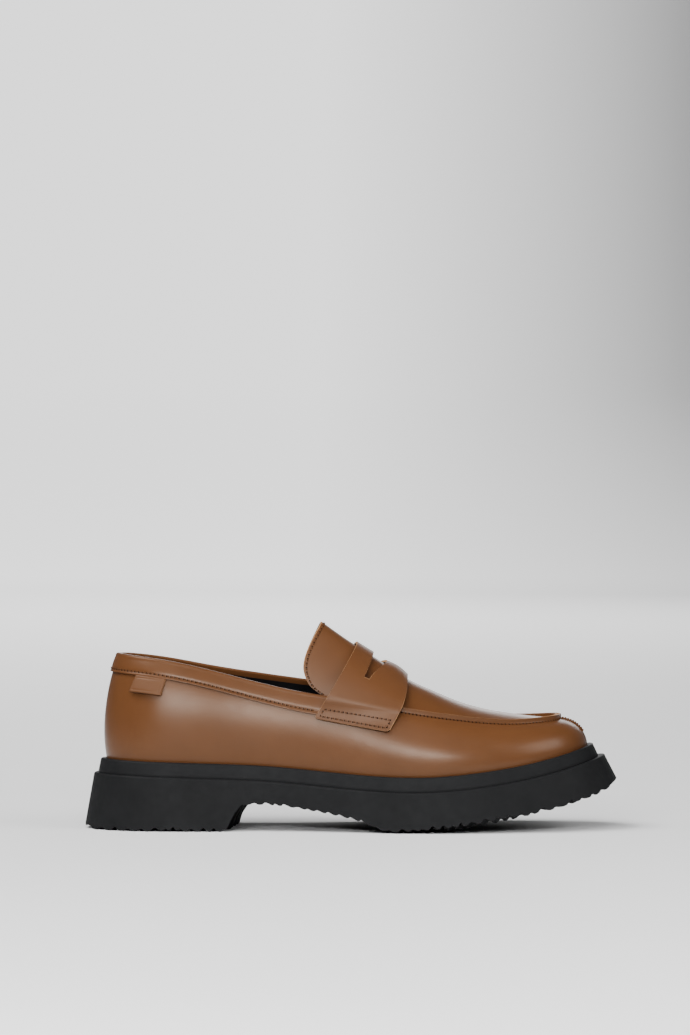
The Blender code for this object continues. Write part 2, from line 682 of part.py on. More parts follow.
def make_strap():
    ends = np.linspace(1 - STRAP_RISE_SHARE, 1, 3)
    c = np.concatenate([-ends[::-1], np.linspace(-0.8, 0.8, 15), ends])
    strap = layer("penny_strap", under_strap, np.linspace(0, 1, 7), c, strap_lift(c)[None, :] + STRAP, STRAP,
                  tan_leather())
    cut(strap, make_slot_cutter())


def make_slot_cutter():
    """A prism through the strap's crown: straight at the back, bulging at the front."""
    lean = math.atan(INSTEP_LEAN)
    forwards = np.array([math.cos(lean), 0, -math.sin(lean)])
    normal = np.array([math.sin(lean), 0, math.cos(lean)])
    rear_edge = under_strap(SLOT_REAR_SHARE, 0.0)
    y = np.linspace(-SLOT_HALF_LENGTH, SLOT_HALF_LENGTH, 11)
    crown = np.cos(y / SLOT_HALF_LENGTH * math.pi / 2) ** 1.5
    width = SLOT_END_WIDTH + (SLOT_CENTRE_WIDTH - SLOT_END_WIDTH) * crown
    outline = [(0, y[0]), (0, y[-1]), *zip(width[::-1], y[::-1])]
    low, high = (
        [rear_edge + forwards * u + np.array([0, k, 0]) + normal * height for u, k in outline]
        for height in SLOT_CUT
    )
    return prism("slot_cutter", low, high, tan_leather())


def tab_edges():
    s = np.linspace(*TAB_S, 5)
    return s, band_t(s, COLLAR_WIDTH + TAB_GAP), band_t(s, COLLAR_WIDTH + TAB_GAP + TAB_HEIGHT)


def make_side_tab():
    s, top, bottom = tab_edges()
    lift = np.full_like(s, STRAP_END_CLEARANCE)
    rows = [bottom + (top - bottom) * share for share in (0, 0.5, 1)]
    outer, inner = (
        np.stack([lifted(wall, s, row, lift + more) for row in rows], axis=1) for more in (TAB, 0)
    )
    return sheet("side_tab", outer, inner, tan_leather())


def make_wall_threads():
    """The collar's row, the apron seam's row, and the zigzag over the toe seam."""
    front = place_at(COLLAR_THREAD_X)
    s = np.linspace(front, 2 - front, 40)
    t = band_t(s, COLLAR_WIDTH - STITCH_IN)
    thread("collar_thread", lifted(wall, s, t, np.full_like(s, GAP + COLLAR_LEATHER + THREAD_LIFT)))
    s = stations(-APRON_THREAD_END, APRON_THREAD_END)
    thread("apron_thread", lifted(wall, s, np.full_like(s, APRON_THREAD_T), np.full_like(s, THREAD_LIFT)))
    s = TOE_SEAM_HALF_WIDTH_S * (-1.0) ** np.arange(TOE_SEAM_TURNS)
    t = np.linspace(*TOE_SEAM_T, TOE_SEAM_TURNS)
    thread("toe_seam_thread", lifted(wall, s, t, np.full_like(s, THREAD_LIFT)))


def make_strap_thread(name, side):
    """A box of stitches that holds one end of the strap."""
    front, rear = STRAP_BOX_BACK
    high, low = STRAP_BOX_C
    corners = [(front, low), (rear, low), (rear, high), (front, high)]
    path = []
    for (a, b), (c, d) in zip(corners, corners[1:] + corners[:1]):
        path += [(a + (c - a) * k, b + (d - b) * k) for k in np.linspace(0, 1, 5, endpoint=False)]
    back, c = np.array(path).T
    c = c * side
    thread(name, lifted(under_strap, back, c, strap_lift(c) + STRAP + THREAD_LIFT), closed=True)


def make_tongue_thread():
    v = np.linspace(-TONGUE_THREAD_V, TONGUE_THREAD_V, 25)
    share = np.full_like(v, TONGUE_THREAD_SHARE)
    return thread("tongue_thread", lifted(tongue_surface, share, v, np.full_like(v, THREAD_LIFT)))


def move_origin(made, point):
    """Puts the object's origin on its joint's axis and leaves its shape where it is."""
    point = Vector([float(k) for k in point])
    made.data.transform(Matrix.Translation(-point))
    made.location = point


def footbed_hinge():
    """The footbed's front edge, where it stays when its heel end is lifted."""
    x = float(feather(0.0)[0][0]) + FOOTBED_IN[0]
    return np.array([x, 0, float(feather_z(x)) + BOARD + GAP])


def tongue_hinge():
    """The tongue's bending line, on its ridge at the strap's rear edge."""
    return tongue_surface(0.0, 0.0) * np.array([1, 0, 1])


def tab_hinge():
    """The middle of the tab's top edge, which stands furthest out."""
    s, top, _ = tab_edges()
    return lifted(wall, s, top, np.full_like(s, STRAP_END_CLEARANCE + TAB / 2))[len(s) // 2]


def main():
    for old in list(bpy.data.objects):
        bpy.data.objects.remove(old)

    make_outsole()
    make_midsole()
    make_bottom_filler()
    make_shank()
    plate("insole_board", BOARD_IN, -TUCK + LEATHER + 2 * GAP, BOARD, board_fibre())
    half = STATIONS // 2
    make_upper("lateral_upper", 0, half)
    make_upper("medial_upper", half, STATIONS)
    make_wall_lining("quarter_lining", LINING_JOIN, STATIONS - LINING_JOIN, (*WALL_ROWS, LINING_TOP_ROW))
    make_wall_lining("vamp_lining", -LINING_JOIN, LINING_JOIN, WALL_ROWS)
    make_stiffeners()
    make_collar_band()
    make_apron()
    make_strap()
    make_wall_threads()
    make_strap_thread("strap_thread_lateral", -1)
    make_strap_thread("strap_thread_medial", 1)

    low = BOARD + GAP
    footbed = plate("footbed", FOOTBED_IN, low, low + FOOTBED, black_foam())
    low += FOOTBED + GAP
    cover = plate("footbed_cover", COVER_IN, low, low + FOOTBED_COVER, black_lining())
    for made in (footbed, cover):
        move_origin(made, footbed_hinge())
    for made in (*make_tongue(), make_tongue_thread()):
        move_origin(made, tongue_hinge())
    move_origin(make_side_tab(), tab_hinge())


main()
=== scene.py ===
import math

import bpy
import numpy as np
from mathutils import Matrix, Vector


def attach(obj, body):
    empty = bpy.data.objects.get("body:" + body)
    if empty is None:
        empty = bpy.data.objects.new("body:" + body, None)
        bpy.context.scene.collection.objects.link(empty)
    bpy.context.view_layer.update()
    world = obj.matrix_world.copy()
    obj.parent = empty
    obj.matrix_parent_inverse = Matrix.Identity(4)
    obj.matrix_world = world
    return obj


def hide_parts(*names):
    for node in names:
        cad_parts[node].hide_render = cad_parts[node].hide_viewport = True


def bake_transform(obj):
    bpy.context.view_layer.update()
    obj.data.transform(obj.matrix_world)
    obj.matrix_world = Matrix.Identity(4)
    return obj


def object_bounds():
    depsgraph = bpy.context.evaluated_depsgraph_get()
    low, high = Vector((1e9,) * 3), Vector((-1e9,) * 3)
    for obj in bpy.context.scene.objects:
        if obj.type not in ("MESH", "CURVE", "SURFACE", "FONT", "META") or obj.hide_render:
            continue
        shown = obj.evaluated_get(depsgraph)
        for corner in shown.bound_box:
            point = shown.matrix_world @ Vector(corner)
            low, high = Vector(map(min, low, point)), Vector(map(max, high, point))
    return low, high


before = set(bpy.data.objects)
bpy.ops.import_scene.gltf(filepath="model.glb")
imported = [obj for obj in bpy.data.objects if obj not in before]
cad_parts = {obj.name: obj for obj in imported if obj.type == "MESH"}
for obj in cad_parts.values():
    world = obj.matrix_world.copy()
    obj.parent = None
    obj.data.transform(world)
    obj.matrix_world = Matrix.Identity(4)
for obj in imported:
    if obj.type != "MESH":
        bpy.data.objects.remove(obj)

cad_low, cad_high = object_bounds()

# The surfaces below follow the CAD's. The feather line is the closed line where the upper meets the midsole.
# A place on it is s: 0 at the toe, 1 at the heel along the outer side, and 2 back at the toe along the inner.
# A place on the side wall is (s, t), t from 0 at the feather line to 1 at the top edge. A place over the foot
# is (s, v), v from -1 on the outer side through 0 on the ridge to 1 on the inner side.
MM = 0.001
UP = np.array([0.0, 0.0, 1.0])
SIDE_LENGTH = 320 * MM  # of the feather line from toe to heel, for lengths along it near the toe

# Upper.
LEATHER = 1.4 * MM
LINING = 0.9 * MM
TUCK = 2.0 * MM  # how far the upper reaches down inside the midsole
LIP = 3.2 * MM  # the upturned edges of the apron seam
LIP_REST = 0.5 * MM  # what is left of them under the strap and round the collar
LIP_START_X = 19 * MM
LIP_RUN = 9 * MM
LIP_CORNER = 1.3 * MM
LIP_STEP = 0.25 * MM  # the apron's edge ends this much below the wall's
INSTEP_LEAN = math.tan(math.radians(34.5))  # the instep's cross-sections lean forwards
ROUNDING_RISE = 27 * MM  # rise of the ridge over the side walls at which a section is round instead of flat
SEAM_ROLL = 0.22 * MM  # rounding of the cut edges along the apron seam
FLAP_ROLL = 0.25 * MM  # and of the tongue, the strap and the tab
TOE_RIDGE = 0.5 * MM  # the uppers swell this much along the toe seam
TOE_RIDGE_WIDTH = 2.0 * MM
COLLAR_WIDTH = 10 * MM
COLLAR_LEATHER = 1.1 * MM
COLLAR_STAND = 0.2 * MM  # between the collar and the leather it is sewn on
COLLAR_FRONT_X = -12 * MM
COLLAR_THREAD_X = -21 * MM
APRON_THREAD_X = 24 * MM
STITCH_IN = 1.9 * MM  # the collar's row of stitches runs this far inside its edge
LINING_DROP = 1.3 * MM  # the quarter lining ends this far below the topline

# Tongue.
TONGUE_START_X = -9 * MM
TONGUE_END_X = (-12 * MM, -60 * MM)  # its rear edge lies between these
TONGUE_TRIM_S = 0.008  # shorter by this on the inner side
TONGUE_INSET = 6.4 * MM
TONGUE_DROP = 4 * MM
TONGUE_INSET_S = (0.445, 0.525)
TONGUE_STITCH_IN = 2.1 * MM

# Strap.
STRAP = 1.5 * MM
STRAP_BACKING = 0.5 * MM
STRAP_WIDTH = 37 * MM
STRAP_HALF = 62 * MM
STRAP_REAR_BAND = 12.3 * MM
STRAP_CORNER = 2 * MM
STRAP_SEAM_SHARE = 0.66  # share of the half strap that lies above the side wall's top edge
STRAP_END_REAR_Z = 66.2 * MM
STRAP_END_FRONT_Z = 58.2 * MM
STRAP_BEND_REACH = 0.24  # how far the corner under the strap is rounded off, as a share of the half strap
SLOT_END_SHARE = 0.40
SLOT_CENTRE_WIDTH = 9.4 * MM
SLOT_END_WIDTH = 3.0 * MM

# Side tab.
TAB_FRONT_X = -109 * MM
TAB_REAR_X = -127 * MM
TAB_LEAN = 0.008
TAB_HEIGHT = 9.6 * MM
TAB = 1.3 * MM
TAB_TUCK = -0.1 * MM
TAB_LINE = 0.16 * MM  # depth of the pressed line inside its edges

# Sole and footbed. Distances out from the feather line are at the toe, the sides and the heel.
BAND = 8.5 * MM  # visible height of the midsole
MIDSOLE_TOP_OUT = (4.0 * MM, 4.0 * MM, 4.0 * MM)
MIDSOLE_BOTTOM_OUT = (7.0 * MM, 5.6 * MM, 5.5 * MM)
MIDSOLE_INSIDE = -5 * MM
MIDSOLE_EDGE = 1.3 * MM
OUTSOLE_TOP_OUT = (11.0 * MM, 8.0 * MM, 8.0 * MM)
OUTSOLE_BOTTOM_OUT = (17.9 * MM, 11.2 * MM, 13.3 * MM)
OUTSOLE_INNER_OUT = (4 * MM, 3 * MM, 3 * MM)
OUTSOLE_EDGE = 1.5 * MM
FOAM_OUT = (-13.5 * MM, -5.0 * MM, -5.2 * MM)
COVER_OUT = (-13.2 * MM, -4.6 * MM, -4.8 * MM)
FOAM_LEVELS = (2.6 * MM, 2.6 * MM + 4.3 * MM)  # above the sole's line
COVER_LEVELS = (2.6 * MM + 4.6 * MM, 2.6 * MM + 4.6 * MM + 1.0 * MM)
BED_CUP = 0.4 * MM

# Camera.
CAMERA_DISTANCE = 6.0
CAMERA_TILT = math.radians(2.33)
CAMERA_AIM_Z = 183 * MM
CAMERA_AIM_BACK = 3.5 * MM
SENSOR = 24
VIEW_WIDTH = 407.1 * MM  # across the picture, at the shoe


def spline(pairs):
    """A natural cubic through (place, value) pairs, as a function that holds its end values outside them."""
    x, y = np.array(list(pairs), float).T
    n = len(x)
    h = np.diff(x)
    system = np.eye(n)
    right = np.zeros(n)
    for i in range(1, n - 1):
        system[i, i - 1 : i + 2] = h[i - 1], 2 * (h[i - 1] + h[i]), h[i]
        right[i] = 6 * ((y[i + 1] - y[i]) / h[i] - (y[i] - y[i - 1]) / h[i - 1])
    bend = np.linalg.solve(system, right)

    def value(at):
        at = np.clip(np.asarray(at, float), x[0], x[-1])
        i = np.clip(np.searchsorted(x, at) - 1, 0, n - 2)
        a, b = x[i + 1] - at, at - x[i]
        left = (y[i] / h[i] - bend[i] * h[i] / 6) * a
        right_side = (y[i + 1] / h[i] - bend[i + 1] * h[i] / 6) * b
        return bend[i] * a**3 / (6 * h[i]) + bend[i + 1] * b**3 / (6 * h[i]) + left + right_side

    return value


def profile(pairs):
    """A spline from pairs in millimetres."""
    return spline((place * MM, value * MM) for place, value in pairs)


def ease(x, low, high):
    """0 before low, 1 after high, and smooth between them."""
    k = np.clip((np.asarray(x, float) - low) / (high - low), 0, 1)
    return k * k * (3 - 2 * k)


# Plan of the feather line in millimetres, clockwise from the toe: outer side first.
FEATHER = [
    (139.2, 3), (134.5, -17), (119, -33), (88, -44.5), (50, -48), (15, -43), (-25, -34.5), (-70, -29.5),
    (-108, -29.5), (-133, -20), (-143.7, 0), (-133, 20), (-106, 28.5), (-70, 27), (-25, 30), (15, 38.5),
    (50, 45.5), (86, 45.5), (118, 35.5), (134.5, 21),
]

# Heights along the shoe: feather line, wall's top edge and ridge over the foot.
feather_z = profile([
    (-144, 41.2), (-78, 39.3), (-48, 38), (-18, 35.5), (21, 32.6), (46, 32.5), (72, 34.7), (98, 38.6),
    (123, 44.2), (140, 48.8),
])
top_z = profile([
    (-138, 101.6), (-109, 98.2), (-68, 88.8), (-28, 79.8), (0, 75.5), (29, 70), (65, 64.6), (92, 62.3),
    (124, 64),
])
ridge_z = profile([
    (-18, 122.2), (1, 108.8), (18, 98), (34, 87.5), (48, 81), (59, 76.2), (70, 72.3), (84, 69), (105, 66),
    (124, 64),
])

# Side wall's section along the shoe: how far its top leans in, and the two handles of its curve, whose
# heights are shares of the wall's. The inner side's top edge is higher.
top_inset = profile([
    (-146, 6.2), (-110, 6), (-50, 3.8), (-10, 4.6), (30, 10), (60, 13.5), (100, 14.5), (140, 15.5),
])
low_handle_out = profile([(-144, 4.5), (-60, 4), (20, 4.5), (70, 4.5), (139, 0.5)])
high_handle_out = profile([(-144, 0.5), (-60, 1.5), (0, -1), (50, -4.5), (139, -6.5)])
low_handle_up = spline([(-144 * MM, 0.3), (-60 * MM, 0.34), (50 * MM, 0.42), (139 * MM, 0.55)])
high_handle_up = spline([(-144 * MM, 0.72), (-60 * MM, 0.76), (50 * MM, 0.9), (139 * MM, 0.95)])
inner_top_extra = profile([
    (-143, 0), (-110, -0.4), (-85, 0.3), (-60, 2.6), (-28, 4.9), (-8, 4.5), (14, 2), (34, 0),
])

# Side view of the tongue's rear edge: x against height.
tongue_back_x = profile([
    (72, -10), (79.2, -16.9), (83.3, -22.6), (88.8, -26.4), (94.5, -28), (99.3, -27.7), (109.8, -23.9),
    (121.5, -17.4),
])

# Edges of the strap along the shoe, against the share of the half strap below the ridge.
strap_rear = spline([(0, -16.3 * MM), (0.33, -16.4 * MM), (0.66, -14.4 * MM), (1, -21.3 * MM)])
strap_front = spline([(0, 18.5 * MM), (0.33, 24 * MM), (0.66, 28 * MM), (1, 22 * MM)])


def measured_feather(count=6000):
    """Points, outward normals and s along the feather line, from the toe round to the toe again."""
    corners = np.array(FEATHER) * MM
    n = len(corners)
    thrice = np.vstack([corners, corners, corners])
    places = np.concatenate([[0], np.cumsum(np.linalg.norm(np.diff(thrice, axis=0), axis=1))])
    at = np.linspace(places[n], places[2 * n], count, endpoint=False)
    line = np.column_stack([spline(zip(places, thrice[:, k]))(at) for k in (0, 1)])
    line = np.roll(line, -int(np.argmax(line[:, 0])), axis=0)
    ahead = np.roll(line, -1, axis=0) - np.roll(line, 1, axis=0)
    normal = np.column_stack([-ahead[:, 1], ahead[:, 0]]) / np.linalg.norm(ahead, axis=1)[:, None]
    line = np.vstack([line, line[:1]])
    normal = np.vstack([normal, normal[:1]])
    run = np.concatenate([[0], np.cumsum(np.linalg.norm(np.diff(line, axis=0), axis=1))])
    heel = int(np.argmin(line[:, 0]))
    s = np.where(run <= run[heel], run / run[heel], 1 + (run - run[heel]) / (run[-1] - run[heel]))
    return line, normal, s


LINE, NORMAL, LINE_S = measured_feather()


def feather(s):
    """Plan points and outward plan normals at s."""
    s = np.mod(np.asarray(s, float), 2)
    point = np.stack([np.interp(s, LINE_S, LINE[:, k]) for k in (0, 1)], axis=-1)
    normal = np.stack([np.interp(s, LINE_S, NORMAL[:, k]) for k in (0, 1)], axis=-1)
    return point, normal / np.linalg.norm(normal, axis=-1, keepdims=True)


def place_at(x):
    """The s on the outer side where the feather line is at x."""
    outer = LINE_S <= 1
    return np.interp(-np.asarray(x), -LINE[outer, 0], LINE_S[outer])


def plan(vectors):
    return np.concatenate([vectors, np.zeros_like(vectors[..., :1])], axis=-1)


def wall(s, t):
    """Outer surface of the side wall."""
    s, t = np.broadcast_arrays(np.asarray(s, float), np.asarray(t, float))
    point, normal = feather(s)
    x = point[..., 0]
    inset = top_inset(x)
    foot = feather_z(x) - TUCK
    inner_side = ease(normal[..., 1], -0.1, 0.25)
    rise = top_z(x - normal[..., 0] * inset) + inner_side * inner_top_extra(x) - foot
    a, b, c = 3 * (1 - t) ** 2 * t, 3 * (1 - t) * t**2, t**3
    out = a * low_handle_out(x) + b * high_handle_out(x) - c * inset
    up = rise * (a * low_handle_up(x) + b * high_handle_up(x) + c)
    return plan(point + normal * out[..., None]) + UP * (foot + up)[..., None]


def wall_t_at(s, z):
    """The t at which the side wall reaches height z, by halving."""
    low, high = np.zeros_like(s), np.ones_like(s)
    for _ in range(24):
        middle = (low + high) / 2
        above = wall(s, middle)[..., 2] > z
        low, high = np.where(above, low, middle), np.where(above, middle, high)
    return (low + high) / 2


def band_t(s, depth):
    """The t that lies a distance below the wall's top edge."""
    return 1 - depth / np.linalg.norm(wall(s, 1.0) - wall(s, 0.8), axis=-1) * 0.2


def over_foot(s, v, inset=0.0, drop=0.0):
    """Outer surface over the foot, its ends inset inside the side wall's top edge and dropped below it."""
    s, v, inset, drop = np.broadcast_arrays(*(np.asarray(k, float) for k in (s, v, inset, drop)))
    outer, inner = (
        wall(side, 1.0) - plan(feather(side)[1]) * inset[..., None] - UP * drop[..., None]
        for side in (s, 2 - s)
    )
    middle, half = (outer + inner) / 2, (inner - outer) / 2
    x = middle[..., 0]
    for _ in range(14):
        rise = np.maximum(ridge_z(x) - middle[..., 2], 0.2 * MM)
        x = middle[..., 0] + INSTEP_LEAN * rise
    roundness = np.clip(2 - rise / ROUNDING_RISE, 0.95, 2)
    crown = np.cos(v * math.pi / 2) ** roundness
    over = np.stack([(x - middle[..., 0]) * crown, np.zeros_like(x), rise * crown], axis=-1)
    return middle + half * np.sin(v * math.pi / 2)[..., None] + over


def plug(s, v):
    """Top of the apron and the tongue: inside the lips at the toe, inside the collar at the throat."""
    share = ease(s, *TONGUE_INSET_S)
    front_inset = 2 * LEATHER + 0.1 * MM
    return over_foot(s, v, front_inset + (TONGUE_INSET - front_inset) * share, TONGUE_DROP * share)


def under_strap(back, c):
    """The surface that the strap follows: back is 0 at its front edge and 1 at its rear, c -1 to 1 across."""
    back, c = np.broadcast_arrays(np.asarray(back, float), np.asarray(c, float))
    share = np.abs(c)
    s = place_at(strap_front(share) + back * (strap_rear(share) - strap_front(share)))
    side = np.where(c < 0, s, 2 - s)
    end_t = wall_t_at(side, STRAP_END_FRONT_Z + back * (STRAP_END_REAR_Z - STRAP_END_FRONT_Z))
    down = np.clip((share - STRAP_SEAM_SHARE) / (1 - STRAP_SEAM_SHARE), 0, 1)
    low = wall(side, 1 + down * (end_t - 1))
    high = over_foot(s, np.clip(c / STRAP_SEAM_SHARE, -1, 1))
    return np.where((share > STRAP_SEAM_SHARE)[..., None], low, high)


def outward(surface, a, b, step=0.002):
    """Outward unit normals of a surface that is a function of two places."""
    along = surface(a + step, b) - surface(a - step, b)
    across = surface(a, np.minimum(b + step, 1)) - surface(a, np.maximum(b - step, -1))
    normal = np.cross(across, along)
    return normal / np.linalg.norm(normal, axis=-1, keepdims=True)


def lifted(surface, a, b, by):
    return surface(a, b) + outward(surface, a, b) * np.asarray(by)[..., None]


def lip_height(s):
    """How far the edges of the apron seam stand up: full in front of the strap, almost none behind it."""
    x = feather(s)[0][..., 0]
    return LIP_REST + (LIP - LIP_REST) * ease(x, LIP_START_X, LIP_START_X + LIP_RUN)


# Mesh tools.


def rows(count, edge=0.0):
    """Places from 0 to 1, with two more close to each end, edge away from it."""
    inner = np.linspace(0, 1, count)
    if not edge:
        return inner
    close = np.array([0, edge, 2.5 * edge])
    middle = inner[(inner > 3.2 * edge) & (inner < 1 - 3.2 * edge)]
    return np.concatenate([close, middle, 1 - close[::-1]])


def grid_faces(shape, mask=None, wrap=False):
    """Corner indices of a grid's faces, as an array of quads."""
    r, c = shape
    index = np.arange(r * c).reshape(r, c)
    if wrap:
        index = np.vstack([index, index[:1]])
    quads = np.stack([index[:-1, :-1], index[:-1, 1:], index[1:, 1:], index[1:, :-1]], axis=-1)
    return quads[mask] if mask is not None else quads.reshape(-1, 4)


def merged(points, quads):
    """The points with coincident ones made one, the faces without repeated corners, and the points kept."""
    key = np.round(points / 1e-7).astype(np.int64)
    _, first, index = np.unique(key, axis=0, return_index=True, return_inverse=True)
    faces = []
    for quad in index.reshape(-1)[quads]:
        face = [k for i, k in enumerate(quad) if k != quad[i - 1]]
        if len(set(face)) >= 3:
            faces.append(face)
    return points[first], faces, first


def vertex_normals(points, faces):
    normals = np.zeros_like(points)
    for size in (3, 4):
        some = np.array([f for f in faces if len(f) == size])
        if len(some) == 0:
            continue
        a, b, c = points[some[:, 0]], points[some[:, 1]], points[some[:, -1]]
        if size == 4:
            face = np.cross(points[some[:, 2]] - a, points[some[:, 3]] - b)
        else:
            face = np.cross(b - a, c - a)
        for k in range(size):
            np.add.at(normals, some[:, k], face)
    return normals / np.maximum(np.linalg.norm(normals, axis=1, keepdims=True), 1e-12)


def borders(faces):
    """The directed edges that only one face uses."""
    edges = {}
    for face in faces:
        for i, b in enumerate(face):
            a = face[i - 1]
            if (b, a) in edges:
                del edges[(b, a)]
            else:
                edges[(a, b)] = True
    return list(edges)


def linked(name, data):
    """An object of the scene that holds the data."""
    made = bpy.data.objects.new(name, data)
    bpy.context.scene.collection.objects.link(made)
    return made


def piece(name, points, faces, looks, face_looks=None, sharp=40):
    """A mesh object of the shoe. face_looks gives each face's place in looks."""
    mesh = bpy.data.meshes.new(name)
    mesh.from_pydata(np.asarray(points).tolist(), [], [list(map(int, f)) for f in faces])
    for look in looks:
        mesh.materials.append(look)
    if face_looks is not None:
        mesh.polygons.foreach_set("material_index", np.asarray(face_looks, np.int32))
    mesh.shade_smooth()
    mesh.set_sharp_from_angle(angle=math.radians(sharp))
    mesh.update()
    return linked(name, mesh)


def sheet(name, grid, thickness, look, edge_look=None, mask=None, lift=0.0, roll=0.0, light_rim=True):
    """A closed sheet of leather: face on the grid, back a thickness below, cut edges rounded and coloured, with
    painted shade on the ones that face down.
    """
    shape = grid.shape[:2]
    quads = grid_faces(shape, mask)
    points, faces, first = merged(grid.reshape(-1, 3), quads)
    normals = vertex_normals(points, faces)
    lift = np.broadcast_to(lift, shape).reshape(-1)[first][:, None]
    face_points = points + normals * lift
    back_points = face_points - normals * thickness
    edge = borders(faces)
    rim = sorted({k for pair in edge for k in pair})
    face_points[rim] -= normals[rim] * roll
    back_points[rim] += normals[rim] * roll * 0.5
    count = len(points)
    used = np.zeros(count, bool)
    used[np.concatenate([np.array(f) for f in faces])] = True
    renumber = np.cumsum(used) - 1
    total = int(used.sum())
    outer = [[renumber[k] for k in f] for f in faces]
    inner = [[renumber[k] + total for k in reversed(f)] for f in faces]
    strip = [[renumber[b], renumber[a], renumber[a] + total, renumber[b] + total] for a, b in edge]
    looks = [look, edge_look or look, painted_shade_edge if edge_look else look]
    at_rim = np.zeros(count, bool)
    at_rim[rim] = light_rim
    kinds = [int(at_rim[f].sum() > 1) for f in faces] + [0] * len(inner)
    # Cut edges that face down get the near-black edge material: painted shade under the sheet's edge.
    for a, b in edge:
        along = face_points[b] - face_points[a]
        facing = np.cross(along, normals[a])[2] / max(np.linalg.norm(along), 1e-9)
        kinds.append(2 if facing < -0.6 else 1)
    return piece(name, np.vstack([face_points[used], back_points[used]]), outer + inner + strip, looks, kinds)


def slab(name, outer, inner, look, edge_look=None, wrap=False):
    """A closed solid between two grids of the same shape."""
    shape = outer.shape[:2]
    count = shape[0] * shape[1]
    quads = [list(q) for q in grid_faces(shape, wrap=wrap)]
    edge = borders(quads)
    faces = quads + [[k + count for k in reversed(q)] for q in quads]
    kinds = [0] * len(faces) + [1] * len(edge)
    faces += [[b, a, a + count, b + count] for a, b in edge]
    points = np.vstack([outer.reshape(-1, 3), inner.reshape(-1, 3)])
    return piece(name, points, faces, [look, edge_look or look], kinds)


def tube_ring(name, rings, look, sharp=40):
    """A solid whose closed section runs round the shoe: rings is stations by section points."""
    quads = grid_faces((rings.shape[0], rings.shape[1] + 1), wrap=True)
    columns = rings.shape[1] + 1
    station, column = quads // columns, quads % columns
    faces = station * rings.shape[1] + column % rings.shape[1]
    return piece(name, rings.reshape(-1, 3), faces.tolist(), [look], sharp=sharp)


def thread_length(points, faces, centres, ups, sizes, sides):
    """Adds one closed length of thread, round its centre line, to a mesh."""
    along = np.gradient(centres, axis=0)
    along /= np.linalg.norm(along, axis=1, keepdims=True)
    across = np.cross(ups, along)
    base = len(points)
    for centre, up, side, size in zip(centres, ups, across, sizes):
        for angle in np.arange(sides) * 2 * math.pi / sides:
            points.append(centre + size * (side * math.cos(angle) + up * math.sin(angle)))
    last = base + (len(centres) - 1) * sides
    for ring in range(base, last, sides):
        for j in range(sides):
            a, b = ring + j, ring + (j + 1) % sides
            faces.append([a, b, b + sides, a + sides])
    faces.append([base + j for j in reversed(range(sides))])
    faces.append([last + j for j in range(sides)])


def stitches(name, path, normals, pitch, radius=0.38 * MM, share=0.6, skew=7, height=0.12 * MM):
    """Separate stitches along a path: short rounded lengths of thread that dip into needle holes, drawn as dark
    tubes of painted shade.
    """
    run = np.concatenate([[0], np.cumsum(np.linalg.norm(np.diff(path, axis=0), axis=1))])
    count = max(int(run[-1] / pitch), 1)
    step = run[-1] / count
    points, faces = [], []
    places = np.array([-1, -0.86, -0.5, 0, 0.5, 0.86, 1])
    swell = np.array([0.35, 0.75, 1, 1.05, 1, 0.75, 0.35]) * radius
    dip = np.array([-1.1, -0.5, 0.1, 0.25, 0.1, -0.5, -1.1]) * radius + height
    turn = math.tan(math.radians(skew)) * step * share / 2
    hole_faces = []
    for k in range(count):
        at = (k + 0.5 + places * share / 2) * step
        centres = np.column_stack([np.interp(at, run, path[:, i]) for i in range(3)])
        up = np.array([np.interp(at[3], run, normals[:, i]) for i in range(3)])
        up /= np.linalg.norm(up)
        side = np.cross(up, centres[-1] - centres[0])
        side /= np.linalg.norm(side)
        centres = centres + side * (turn * places)[:, None] + up * dip[:, None]
        thread_length(points, faces, centres, np.tile(up, (len(places), 1)), swell, 6)
        # Dark tubes along each stitch stand for the needle holes: painted shade.
        along = (centres[-1] - centres[0]) / step
        start = centres[-1] - up * dip[-1]
        holes = [start + along * 0.45 * MM * (shift - 0.1) - up * 0.22 * MM for shift in (-1, 0, 1, 2)]
        sizes = np.array([0.3, 1.0, 1.0, 0.3]) * radius * 1.8
        before = len(faces)
        thread_length(points, faces, np.array(holes), np.tile(up, (4, 1)), sizes, 6)
        hole_faces += range(before, len(faces))
    kinds = np.zeros(len(faces), int)
    kinds[hole_faces] = 1
    return piece(name, points, faces, [thread, painted_hole_shade], kinds, sharp=60)


def place(made, body, slot, *nodes):
    """Puts a piece on its body, in place of its CAD nodes."""
    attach(made, body)
    if nodes:
        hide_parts(*nodes)
    return made


# Materials.


